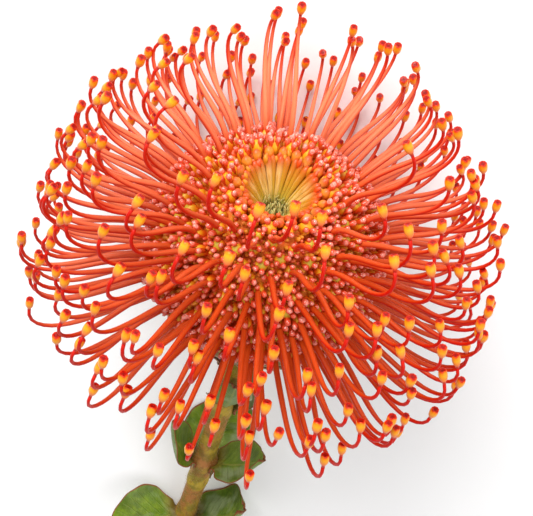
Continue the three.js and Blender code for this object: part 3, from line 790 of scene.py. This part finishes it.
def club_ring(line, club, count, phase, purpose, rings=14):
    """Clubs on a line of (share, radius from the axis, z), turned round the axis `count` times.
    Their rings stand closer toward the tip: share = even share to the power 0.8."""
    bud = np.arange(count)
    share = np.linspace(0, 1, rings) ** 0.8
    places, radii, heights = np.array(line).T
    turn = TURN * (bud + phase + 0.35 * (draw(bud, purpose) - 0.5)) / count
    stretch = 1 + 0.05 * (draw(bud, purpose + 1) - 0.5)[:, None]
    z = (np.interp(share, places, heights) - heights[0])[None] * stretch + heights[0]
    path = polar(np.interp(share, places, radii)[None] * np.ones((count, 1)), turn[:, None], z)
    across = polar(1.0, turn + TURN / 4, np.zeros(count))[:, None]
    radius = curve_through(club, share)[None] * (0.9 + 0.2 * draw(bud, purpose + 2)[:, None])
    return turned_up(rings_along(path, radius, across, BUD_SIDES)), share


strand_rings, bud_share = club_ring(STRAND_LINE, STRAND_CLUB, STRANDS, 0.0, 41)
bud_knob_rings, bud_share = club_ring(BUD_KNOB_LINE, BUD_KNOB_CLUB, BUD_KNOBS, 0.5, 45)
strands = tubes("funnel_strands", strand_rings, bud_share)
bud_knobs = tubes("bud_knobs", bud_knob_rings, bud_share)

# %% The pale tuft at the bottom of the funnel
TUFT_HAIRS = 70
TUFT_RADIUS, TUFT_FLOOR = 3.4, 13.6
TUFT_SCATTER = 1.6
TUFT_THICKNESS = 0.34

tuft = np.arange(TUFT_HAIRS)
tuft_place = TUFT_RADIUS * np.sqrt((tuft + 0.5) / TUFT_HAIRS)
tuft_foot = polar(tuft_place, tuft * GOLDEN_ANGLE, TUFT_FLOOR)
tuft_lean = np.stack([TUFT_SCATTER * (draw(tuft, 61) - 0.5), TUFT_SCATTER * (draw(tuft, 62) - 0.5),
                      1.8 + 2.2 * draw(tuft, 63)], -1)
tuft_tip = tuft_foot * [0.8, 0.8, 1] + tuft_lean
tuft_share = np.linspace(0, 1, 5)
tuft_path = tuft_foot[:, None] + (tuft_tip - tuft_foot)[:, None] * tuft_share[None, :, None]
tuft_radius = TUFT_THICKNESS * (1 - 0.8 * tuft_share ** 2)
tuft_rings = rings_along(tuft_path, tuft_radius, np.array([0.0, 1.0, 0.01]), 5)
hollow_tuft = tubes("hollow_tuft", turned_up(tuft_rings), tuft_share)

# %% Finishes of the middle
# The strands turn orange-red at their tops and the knobs are red on their lower halves: partly the
# buds' own red, partly painted shade round the knobs at the funnel's rim.
STRAND_RAMP = [
    (0.00, 160, 158, 80), (0.16, 178, 156, 58), (0.50, 194, 144, 38), (0.76, 196, 118, 28),
    (1.00, 200, 74, 20),
]
BUD_KNOB_RAMP = [
    (0.00, 204, 66, 12), (0.50, 216, 78, 16), (0.72, 224, 118, 24), (0.88, 226, 136, 40),
    (1.00, 212, 86, 40),
]


def bud_finish(name, stops):
    """Streaks run along a bud, and some buds carry a cream stripe that is a painted highlight."""
    finish = Finish(name, Roughness=0.32, Specular_IOR_Level=0.4, Subsurface_Weight=0.15,
                    Subsurface_Scale=0.001, Subsurface_Radius=(1.0, 0.6, 0.2))
    u, v, tone = finish.surface()
    lines = finish.streaks(7, 2, tone * 5)
    ground = finish.ramp(v + 0.12 * (lines - 0.5) + 0.1 * (tone - 0.5), stops)
    # painted highlight: a cream stripe along some buds, fading out toward their ends
    paler = (lines + 0.6 * (tone - 0.5)).step(0.5, 0.8) * v.step(0.95, 0.6)
    colour = finish.coats(ground, (paler * 0.6, (240, 206, 136)))
    return finish.paint(Base_Color=colour, Normal=finish.bump(lines, 0.15))


dress(strands, bud_finish("strand_skin", STRAND_RAMP), "bud_olive", "central_buds")
dress(bud_knobs, bud_finish("knob_tip_skin", BUD_KNOB_RAMP), "bud_olive", "central_buds")

finish = Finish("tuft_skin", Roughness=0.6, Subsurface_Weight=0.1, Subsurface_Scale=0.001)
u, v = finish.uv()
tuft_skin = finish.paint(Base_Color=finish.coats((160, 146, 72), (v, (196, 186, 118))))
dress(hollow_tuft, tuft_skin, "bud_olive", "central_buds")

# %% [markdown]
# ## Bracts
#
# Behind the head sits a cup of overlapping woolly bracts. A bract is a thin sheet, so a second
# maker skins sheets: a grid of points for the middle of the blade, offset to both sides along
# the grid's normal, with a thin rim round the edge. It serves the leaves as well.


# %% From a grid to a closed sheet
def sheets(name, middle, thickness, along, tone=None):
    """Skins (copies, rows, columns, 3) grids: front and back lie half a thickness to each side
    of the middle, along the cross product of the row and column directions. An attribute,
    `under`, is 0 on the front and 1 on the back."""
    copies, rows, columns, _ = middle.shape
    normal = unit(np.cross(np.gradient(middle, axis=1), np.gradient(middle, axis=2)))
    offset = normal * (np.broadcast_to(thickness, middle.shape[:3]) / 2)[..., None]
    points = rest_on_surface(np.stack([middle + offset, middle - offset], axis=1))
    grid = np.arange(rows * columns).reshape(rows, columns)
    under = rows * columns
    quad = np.stack([grid[:-1, :-1], grid[1:, :-1], grid[1:, 1:], grid[:-1, 1:]], -1)
    quad = quad.reshape(-1, 4)
    border = np.concatenate([grid[:, 0], grid[-1, 1:], grid[-2::-1, -1], grid[0, -2:0:-1]])
    onward = np.roll(border, -1)
    rim = np.stack([onward, border, border + under, onward + under], -1)
    faces = np.concatenate([quad, quad[:, ::-1] + under, rim])
    u = np.broadcast_to(np.linspace(0, 1, columns), (rows, columns)).ravel()
    v = np.broadcast_to(along[:, None], (rows, columns)).ravel()
    face_map = np.stack([u, v], -1)[faces % under]
    start = np.arange(copies)[:, None, None] * 2 * under
    all_maps = np.broadcast_to(face_map, (copies, *face_map.shape))
    tones = draw(np.arange(copies), 31) if tone is None else np.broadcast_to(tone, copies)
    piece = mesh_object(name, points.reshape(-1, 3), [(start + faces).reshape(-1, 4)], [all_maps],
                        np.repeat(tones, 2 * under))
    back = np.tile(np.repeat([0.0, 1.0], under), copies)
    stored = piece.data.attributes.new("under", "FLOAT", "POINT")
    stored.data.foreach_set("value", back.astype(np.float32))
    return piece


# %% The cup and its bracts
CUP_RIM = (20.6, -15.4)
CUP_FOOT = (4.4, -29.0)
CUP_THICKNESS = 1.9
CUP_SIDES = 48
CUP_INSIDE = np.array([[0.3, -20.4], [8.0, -20.4], [16.2, -18.6], [20.6, -15.6]])
CUP_MIDDLE = [[0.3, -29.0]]
BRACTS = 13
BRACT_ROWS, ROW_STEP = 6, 0.165
BRACT_REACH = 0.46
BRACT_SUNK = 0.9
BRACT_SHARE = np.linspace(0, 1, 12)
BRACT_SIDE = np.linspace(-1, 1, 9)


def cup_line(share):
    """The cup's outside from rim (0) to foot (1): r falls as a cosine to the power 1.25.
    Below 0 the line runs on past the rim, closing in and rising."""
    fullness = CUP_RIM[0] + CUP_THICKNESS - CUP_FOOT[0]
    swell = np.cos(np.clip(share, 0, 1) * np.pi / 2) ** 1.25
    above = np.minimum(share, 0)
    radius = CUP_FOOT[0] + fullness * swell + 6 * above
    z = CUP_RIM[1] + (CUP_FOOT[1] - CUP_RIM[1]) * np.clip(share, 0, 1) ** 1.15 - 22 * above
    return radius, z


def bract_grids():
    """A bract's foot lies low on the cup and its pointed tip further up, bent a little outward.
    With s from foot to tip and t from side to side, half width = W (1 - s^1.7) and
    lift = 0.12 + s^1.5 + s^6 / 2 - 0.8 t^2 s (1 - s^4)."""
    bract = np.arange(BRACTS * BRACT_ROWS)
    row, place = bract // BRACTS, bract % BRACTS
    share, side = BRACT_SHARE[None, :, None], BRACT_SIDE[None, None]
    foot = (1.0 - ROW_STEP * row)[:, None, None]
    reach = BRACT_REACH * (0.85 + 0.3 * draw(bract, 71))[:, None, None]
    radius, z = cup_line(foot - reach * share)
    turn = TURN * (place + 0.5 * row + 0.3 * (draw(bract, 72) - 0.5)) / BRACTS
    wide = TURN / BRACTS * (0.68 + 0.16 * draw(bract, 73))
    half = wide[:, None, None] * (1 - share ** 1.7) + 0.008
    lift = 0.12 + share ** 1.5 + 0.5 * share ** 6 - 0.8 * side ** 2 * share * (1 - share ** 4)
    angle = turn[:, None, None] + side * half
    return polar(radius - BRACT_SUNK + lift, angle, z)


# %% Skin the cup and the bracts
cup_radius, cup_z = cup_line(np.linspace(-0.03, 1, 24))
cup_outside = np.stack([cup_radius - 1.2, cup_z], -1)
cup_profile = np.concatenate([CUP_INSIDE, cup_outside, CUP_MIDDLE])
cup = tubes("involucre_cup", lathe(cup_profile, CUP_SIDES), np.linspace(0, 1, len(cup_profile)))
bract_thickness = (0.55 - 0.3 * BRACT_SHARE)[:, None]
bracts = sheets("bracts", bract_grids(), bract_thickness, BRACT_SHARE)

# %% [markdown]
# A bract is olive at its foot and brown further up, with a dark tip and broad cream margins. Fine
# streaks of pale wool run along it. Each of these is one coat on the olive ground.

# %% Finish of the bracts
finish = Finish("bract_wool", Roughness=0.85, Sheen_Weight=0.4, Sheen_Roughness=0.5)
u, v, tone = finish.surface()
side = abs(u * 2 - 1)
wool = finish.streaks(30, 6, tone * 9)
mottle = finish.grain(1.6)
colour = finish.coats(
    (134, 124, 62),
    (v.step(0.3, 0.9), (150, 84, 46)),
    ((v + 0.3 * (mottle - 0.5)).step(0.86, 0.98), (112, 46, 28)),
    ((side + 0.4 * (mottle - 0.5)).step(0.62, 0.9) * 0.75, (206, 186, 140)),
    (wool.step(0.5, 0.75) * 0.35, (200, 178, 126)),
)
bract_wool = finish.paint(Base_Color=colour, Normal=finish.bump(wool, 0.25))
dress(bracts, bract_wool, "bract_wool", "involucre")
dress(cup, bract_wool, "bract_wool", "involucre")

# %% [markdown]
# ## Stem
#
# The flower stalk is a woody rod that thickens toward the head and swells a little where each
# leaf joins it. Its cut end shows a pale ring of wood round the pith. A circle carried along a
# slightly curved line, its radius a sum of smooth bumps, gives all of that in one skin.

# %% The leaves' places and the stem
# For each leaf: where it joins (z), its turn, length, width, and its lean at base and tip.
LEAVES = np.array([
    [-38, 340, 17, 14, 46, 30], [-47, 117, 22, 16, 50, 46], [-58, 282, 17, 12, 30, 12],
    [-65, 45, 16, 14, 36, 12], [-91, 188, 17, 14, 50, 2], [-91, 350, 16, 16, 66, 34],
    [-102, 80, 30, 21, 60, 80], [-121, 218, 20, 22, 82, 104], [-125, 356, 19, 27, 60, 30],
], float)
STEM_TOP, STEM_END = -29.35, -130.2
STEM_RADIUS, NECK_RADIUS, NECK_LENGTH = 2.9, 4.1, 12.0
STEM_DRIFT = 3.0
NODE_SWELL, NODE_LENGTH = 0.45, 2.5
SCAR_HEIGHT, SCAR_LENGTH, SCAR_BELOW = 0.45, 1.3, 1.2
STEM_RINGS, STEM_SIDES = 200, 28
# The cut face: share of the stalk's radius, and mm that it stands back from the end.
CUT_FACE = np.array([[0.93, 0.06], [0.6, 0.02], [0.25, 0.04]])
CUT_SHARES = [1.02, 1.06, 1.1]


def stem_centre(z):
    """The stalk's middle: it drifts 3 mm aside with the square of the share of its length."""
    share = np.clip((STEM_TOP - z) / (STEM_TOP - STEM_END), 0, 1)
    return np.stack([-STEM_DRIFT * share ** 2, np.zeros_like(z), z], -1)


def stem_radius(z):
    """Rod + exponential neck + a bell curve at each leaf."""
    neck = (NECK_RADIUS - STEM_RADIUS) * np.exp((z - STEM_TOP) / NECK_LENGTH)
    swell = NODE_SWELL * np.exp(-((z[..., None] - LEAVES[:, 0]) / NODE_LENGTH) ** 2).sum(-1)
    return STEM_RADIUS + neck + swell


# %% Skin the stem
# The skin stands a little inside the solid's radius, and below each leaf it has a scar.
stem_z = np.linspace(STEM_TOP, STEM_END + 0.12, STEM_RINGS)
stem_angle = -TURN * np.arange(STEM_SIDES) / STEM_SIDES
leaf_turn = np.radians(LEAVES[:, 1])
toward = np.cos(stem_angle[None, :, None] - leaf_turn)
below = np.exp(-((stem_z[:, None, None] - LEAVES[:, 0] + SCAR_BELOW) / SCAR_LENGTH) ** 2)
scar = (SCAR_HEIGHT * below * np.clip(toward, 0, 1) ** 3).sum(-1)
rough = 0.05 * np.sin(5 * stem_angle + 0.05 * stem_z[:, None]) + 0.04 * np.sin(3 * stem_angle + 1)
skin_radius = 0.965 * stem_radius(stem_z)[:, None] + scar + rough
skin_radius = np.concatenate([skin_radius, CUT_FACE[:, :1] * skin_radius[-1]])
skin_centre = stem_centre(np.concatenate([stem_z, STEM_END + CUT_FACE[:, 1]]))
stem_rings = skin_centre[:, None] + polar(skin_radius, stem_angle[None], 0.0)
stem_share = np.concatenate([np.linspace(0, 1, STEM_RINGS), CUT_SHARES])
stalk = tubes("stalk", rest_on_surface(stem_rings)[None], stem_share)

# %% Finish of the stem
finish = Finish("stalk_skin", Roughness=0.6, Specular_IOR_Level=0.35)
u, v = finish.uv()
lines = finish.streaks(14, 40)
mottle = finish.grain(3.0)
patches = finish.grain(9.0)
flecks = finish.grain(0.5)
colour = finish.coats(
    (172, 144, 42),
    (patches.step(0.42, 0.62), (166, 108, 54)),
    (mottle.step(0.42, 0.62) * 0.6, (104, 100, 26)),
    (lines.step(0.52, 0.72) * 0.5, (116, 68, 28)),
    (flecks.step(0.58, 0.78) * 0.25, (186, 158, 92)),
    (v.step(0.999, 1.001), (196, 176, 118)),
    (v.step(1.05, 1.09), (226, 214, 172)),
)
stalk_skin = finish.paint(Base_Color=colour, Normal=finish.bump(lines + 0.5 * flecks, 0.2))
dress(stalk, stalk_skin, "stem_olive", "stem")

# %% [markdown]
# ## Down
#
# A short down covers the stalk and the bracts, longest on the bracts. Each hair is a three-sided
# tube of four rings that tapers to a fine tip and bends toward the flower. Blender's hair curves
# would be lighter, but they are lost when the part is exported as a mesh.

# %% The hairs
STALK_HAIRS, STALK_HAIR_LENGTH = 2200, 0.55
BRACT_HAIRS, BRACT_HAIR_LENGTH = 2600, 1.5
HAIR_RADIUS = 0.04
HAIR_RINGS, HAIR_SIDES = 4, 3


def down(name, foot, outward, length):
    """path(s) = foot + L (s outward + s^2 (0.7 axis + 0.6 aside)), where aside is a draw of up
    to half a unit along the surface; radius(s) = 0.04 (1 - 0.9 s)."""
    hair = np.arange(len(foot))
    share = np.linspace(0, 1, HAIR_RINGS)[None, :, None]
    aside = np.cross(outward, AXIS) * (draw(hair, 82) - 0.5)[:, None]
    bend = 0.7 * AXIS + 0.6 * aside
    size = (length * (0.6 + 0.8 * draw(hair, 83)))[:, None, None]
    path = foot[:, None] + size * (share * outward[:, None] + share ** 2 * bend[:, None])
    path = keep_above(path, 2 * HAIR_RADIUS, 0.05)
    across = np.cross(outward, AXIS)[:, None]
    rings = rings_along(path, HAIR_RADIUS * (1 - 0.9 * share[..., 0]), across, HAIR_SIDES)
    return tubes(name, rest_on_surface(rings), share[0, :, 0])


# %% Set the hairs
hair = np.arange(STALK_HAIRS)
hair_z = mix((STEM_TOP - 1.0, STEM_END + 1.0), (hair + 0.5) / STALK_HAIRS)
hair_out = polar(1.0, hair * GOLDEN_ANGLE, np.zeros(STALK_HAIRS))
hair_foot = stem_centre(hair_z) + 0.95 * stem_radius(hair_z)[:, None] * hair_out
stalk_down = down("stalk_down", hair_foot, hair_out, STALK_HAIR_LENGTH)

hair = np.arange(BRACT_HAIRS)
hair_radius, hair_z = cup_line(0.02 + 0.93 * draw(hair, 84))
hair_out = polar(1.0, hair * GOLDEN_ANGLE, np.zeros(BRACT_HAIRS))
hair_foot = (hair_radius - 0.5)[:, None] * hair_out + hair_z[:, None] * AXIS
bract_down = down("bract_down", hair_foot, hair_out, BRACT_HAIR_LENGTH)

# %% Finish of the down
finish = Finish("down_hair", Roughness=0.7, Sheen_Weight=0.2)
u, v, tone = finish.surface()
colour = finish.coats((164, 128, 76), (v, (222, 204, 164)), (tone * 0.5, (176, 132, 96)))
down_hair = finish.paint(Base_Color=colour)
dress(stalk_down, down_hair, "stem_olive", "stem")
dress(bract_down, down_hair, "bract_wool", "involucre")

# %% [markdown]
# ## Leaves
#
# The leaves are leathery, widest near the middle, and cupped toward the stalk, with a pale midrib
# and a thin red-brown margin. Each is a sheet on the same arched middle line as its solid. Its
# foot runs on into the stalk, a groove marks the midrib, and three small teeth blunt its tip.

# %% Numbers of the leaves, and their outline
LEAF_ROWS, LEAF_COLUMNS = 56, 29
LEAF_CUP, LEAF_FLATTENS = 0.16, 0.5
LEAF_WAVE, LEAF_WAVES = 0.5, 1.5
LEAF_SEAT = 0.35
LEAF_THICKNESS = 0.8
LEAF_LEVEL = 0.5
LEAF_FOOT = 3.3
LEAF_SHARE = np.linspace(0, 1.03, LEAF_ROWS)
LEAF_SIDE = np.linspace(-1, 1, LEAF_COLUMNS)[None]
VEINS, VEIN_SLANT = 8, 2.2
MIDRIB_GROOVE, VEIN_RELIEF, TEETH_LENGTH = 0.35, 0.07, 0.5
# The solid leaf is a chain of nine straight steps, whose lean runs half a step ahead.
SOLID_ROWS = 9


def leaf_half_width(width, share):
    """width/2 * max(sin(pi mix(0.06, 0.96, s)^0.82)^0.62, 0.42 (1 - s)^3), with a round tip, and
    drawn in to at most LEAF_FOOT where it clasps the stalk."""
    body = np.sin(np.pi * mix((0.06, 0.96), np.minimum(share, 0.94)) ** 0.82) ** 0.62
    round_tip = np.sqrt(np.clip(1 - (np.clip(share - 0.88, 0, 1) / 0.155) ** 2, 0.02, 1))
    full = width / 2 * np.maximum(body * round_tip, 0.42 * (1 - np.minimum(share, 1)) ** 3)
    return mix((np.minimum(full, LEAF_FOOT), full), smooth(share / 0.16))


# %% The leaf's middle surface
def leaf_grid(z, turn, length, width, base_lean, tip_lean):
    """The middle surface, in mm: a line that leans from base to tip, and across it at t, from
    side to side, cup = 0.16 width t^2 (1 - s / 2), a wave, a midrib groove exp(-(t / 0.07)^2),
    veins cos(2 pi (8 s - 2.2 |t|))^3, and teeth cos(3 pi t / 2)^2 at the tip."""
    turn = np.radians(turn)
    outward = polar(1.0, turn, 0.0)
    across = polar(1.0, turn + TURN / 4, 0.0)
    lean = np.radians(mix((base_lean, tip_lean), LEAF_SHARE))
    ahead = np.radians(mix((base_lean, tip_lean), LEAF_SHARE + 0.5 / SOLID_ROWS))[:, None]
    walk = outward * np.sin(ahead) + AXIS * np.cos(ahead)
    steps = (walk[1:] + walk[:-1]) / 2 * (length * np.diff(LEAF_SHARE))[:, None]
    half_thickness = LEAF_THICKNESS / 2
    seat = stem_radius(np.array(z)) + LEAF_SEAT + half_thickness * np.cos(np.radians(base_lean))
    base = stem_centre(np.array(z)) + outward * seat
    line = base + np.concatenate([[np.zeros(3)], np.cumsum(steps, axis=0)])
    foot = 1 - smooth(LEAF_SHARE / 0.09)[:, None]
    line = line - foot * (1.6 * outward + 1.0 * AXIS)
    normal = AXIS * np.sin(lean)[:, None] - outward * np.cos(lean)[:, None]
    side, s = LEAF_SIDE, LEAF_SHARE[:, None]
    half = leaf_half_width(width, s) * (1 + 0.012 * np.sin(23 * s + turn) * side)
    cup = LEAF_CUP * width * side ** 2 * (1 - LEAF_FLATTENS * s) * smooth(s / 0.05)
    wave = LEAF_WAVE * side ** 2 * np.sin(TURN * s * LEAF_WAVES + side)
    groove = MIDRIB_GROOVE * np.exp(-(side / 0.07) ** 2) * (1 - 0.7 * s)
    vein_place = s * VEINS - VEIN_SLANT * np.abs(side)
    vein = VEIN_RELIEF * np.cos(TURN * vein_place) ** 3 * np.abs(side) * (1 - np.abs(side))
    teeth = TEETH_LENGTH * smooth((s - 0.93) / 0.1) * np.cos(1.5 * np.pi * side) ** 2
    grid = (line[:, None] + (side * half)[..., None] * across
            + (cup + wave - groove - vein)[..., None] * normal[:, None]
            + teeth[..., None] * walk[:, None])
    return keep_above(grid, LEAF_LEVEL)


# %% Skin the leaves
# Thickest at the foot and along the midrib, and thin at the margins.
foot_thickness = 0.5 * np.exp(-LEAF_SHARE[:, None] / 0.05)
leaf_thickness = 0.22 + 0.42 * (1 - np.abs(LEAF_SIDE) ** 3) + foot_thickness
leaf_pieces = []
for number, facts in enumerate(LEAVES, start=1):
    grid, tone = leaf_grid(*facts)[None], number / len(LEAVES)
    leaf_pieces.append(sheets(f"leaf_blade_{number}", grid, leaf_thickness, LEAF_SHARE, tone))

# %% [markdown]
# A leaf is mottled in two greens, with dark green patches of painted shade and large soft
# grey-blue patches, which are partly the leaf's own waxy grey and partly painted sheen. Its
# underside is paler. The veins' colour follows the same lines as their relief, and a red-brown
# margin runs round it. These are coats too, one on another from the ground colour up.

# %% Finish of the leaves
finish = Finish("leaf_skin", Roughness=0.42, Specular_IOR_Level=0.35, Subsurface_Weight=0.08,
                Subsurface_Scale=0.001, Subsurface_Radius=(0.5, 1.0, 0.2))
u, v = finish.uv()
side = abs(u * 2 - 1)
bloom_and_sheen, shade = finish.grain(11.0), finish.grain(7.0)
mottle, fine = finish.grain(2.5), finish.grain(0.45)
vein_place = (v * VEINS - side * VEIN_SLANT).fraction()
vein = abs(vein_place - 0.5).step(0.10, 0.02) * side.step(0.02, 0.12) * side.step(0.98, 0.75)
margin = (side + 0.05 * (mottle - 0.5)).step(0.945, 0.985)
tip = v.step(1.0, 1.025)
colour = finish.coats(
    (88, 114, 12),
    (mottle.step(0.35, 0.7), (112, 134, 24)),
    # painted shade: dark green patches
    (shade.step(0.48, 0.62) * 0.55, (60, 78, 14)),
    # grey-blue patches: partly the leaf's own waxy grey, partly painted sheen
    (bloom_and_sheen.step(0.52, 0.64) * 0.7, (142, 156, 112)),
    (finish.attribute("under") * 0.3, (112, 128, 76)),
    (vein * 0.25, (126, 142, 62)),
    (side.step(0.075, 0.03) * 0.5, (140, 140, 58)),
    (v.step(0.16, 0.0) * 0.6, (140, 92, 44)),
    ((margin + tip).step(0.2, 0.9) * 0.85, (128, 54, 26)),
)
leaf_skin = finish.paint(Base_Color=colour, Normal=finish.bump(fine + vein, 0.12))
for number, blade in enumerate(leaf_pieces, start=1):
    dress(blade, leaf_skin, "leaf_green", f"leaf_{number}")

# %% [markdown]
# ## Stage, light and camera
#
# The flower lies on a plain pale floor. One broad soft lamp stands up and to the left of the
# camera, a second fills the shadows, and a pale sky does the rest. The camera looks down into
# the flower's face, forty-four degrees off its axis, and is rolled so that the stalk hangs down.

# %% The floor
FLOOR_SIZE = 3.0
bpy.ops.mesh.primitive_plane_add(size=FLOOR_SIZE)
floor = bpy.context.active_object
floor.name = "floor"
finish = Finish("floor_paper", Roughness=0.9)
floor_tone = finish.grain(40.0)
paper = finish.paint(Base_Color=finish.blend(floor_tone, (0.90, 0.90, 0.90), (0.93, 0.93, 0.93)))
floor.data.materials.append(paper)
print(f"the floor is {FLOOR_SIZE} m wide")

# %% The camera
VIEW_DOWN = np.radians(44.0)
ROLL = np.radians(15.0)
DISTANCE = 265.0
LOOK_AT = np.array([0.0, 0.0, 4.0])
PIXELS_PER_MM = 4.40
IMAGE = (533, 516)
LOOK_PIXEL = (268, 236)
SENSOR = 36.0

toward_camera = np.array([0.0, -np.sin(VIEW_DOWN), np.cos(VIEW_DOWN)])
level_right = np.array([1.0, 0.0, 0.0])
level_up = np.array([0.0, np.cos(VIEW_DOWN), np.sin(VIEW_DOWN)])
image_right = np.cos(ROLL) * level_right + np.sin(ROLL) * level_up
image_up = np.cos(ROLL) * level_up - np.sin(ROLL) * level_right
camera_axes = np.stack([image_right, image_up, toward_camera]) @ FLOWER_AXES
camera_data = bpy.data.cameras.new("camera")
camera = bpy.data.objects.new("camera", camera_data)
place = Matrix(camera_axes.T.tolist()).to_4x4()
place.translation = Vector(to_world(LOOK_AT + DISTANCE * toward_camera))
camera.matrix_world = place
camera_data.sensor_width = SENSOR
camera_data.lens = SENSOR * DISTANCE * PIXELS_PER_MM / IMAGE[0]
camera_data.shift_x = (IMAGE[0] / 2 - LOOK_PIXEL[0]) / IMAGE[0]
camera_data.shift_y = (LOOK_PIXEL[1] - IMAGE[1] / 2) / IMAGE[0]
camera_data.clip_start = 0.01
bpy.context.scene.collection.objects.link(camera)
bpy.context.scene.camera = camera
shift = camera_data.shift_x, camera_data.shift_y
print(f"lens {camera_data.lens:.1f} mm, shift {shift[0]:.3f}, {shift[1]:.3f}")


# %% The lamps and the sky
def area_lamp(name, direction, distance, size, watts):
    """A square lamp that looks at the head from a direction in the world."""
    lamp = bpy.data.lights.new(name, "AREA")
    lamp.energy, lamp.size = watts, size
    holder = bpy.data.objects.new(name, lamp)
    way = Vector(direction).normalized()
    holder.location = Vector(to_world(np.zeros(3))) + way * distance
    holder.rotation_euler = way.to_track_quat("Z", "Y").to_euler()
    bpy.context.scene.collection.objects.link(holder)
    print(f"{name} lamp: {watts} W, {size} m wide, {distance} m away")


area_lamp("key", (0.80, 0.36, 0.58), distance=0.9, size=0.6, watts=10.0)
area_lamp("fill", (0.1, -0.7, 0.7), distance=1.1, size=0.9, watts=4.5)
SKY_STRENGTH = 0.62
world = bpy.data.worlds.new("sky")
world.use_nodes = True
world.node_tree.nodes["Background"].inputs["Color"].default_value = (1.0, 1.0, 1.0, 1.0)
world.node_tree.nodes["Background"].inputs["Strength"].default_value = SKY_STRENGTH
bpy.context.scene.world = world
bpy.context.scene.view_settings.view_transform = "Standard"
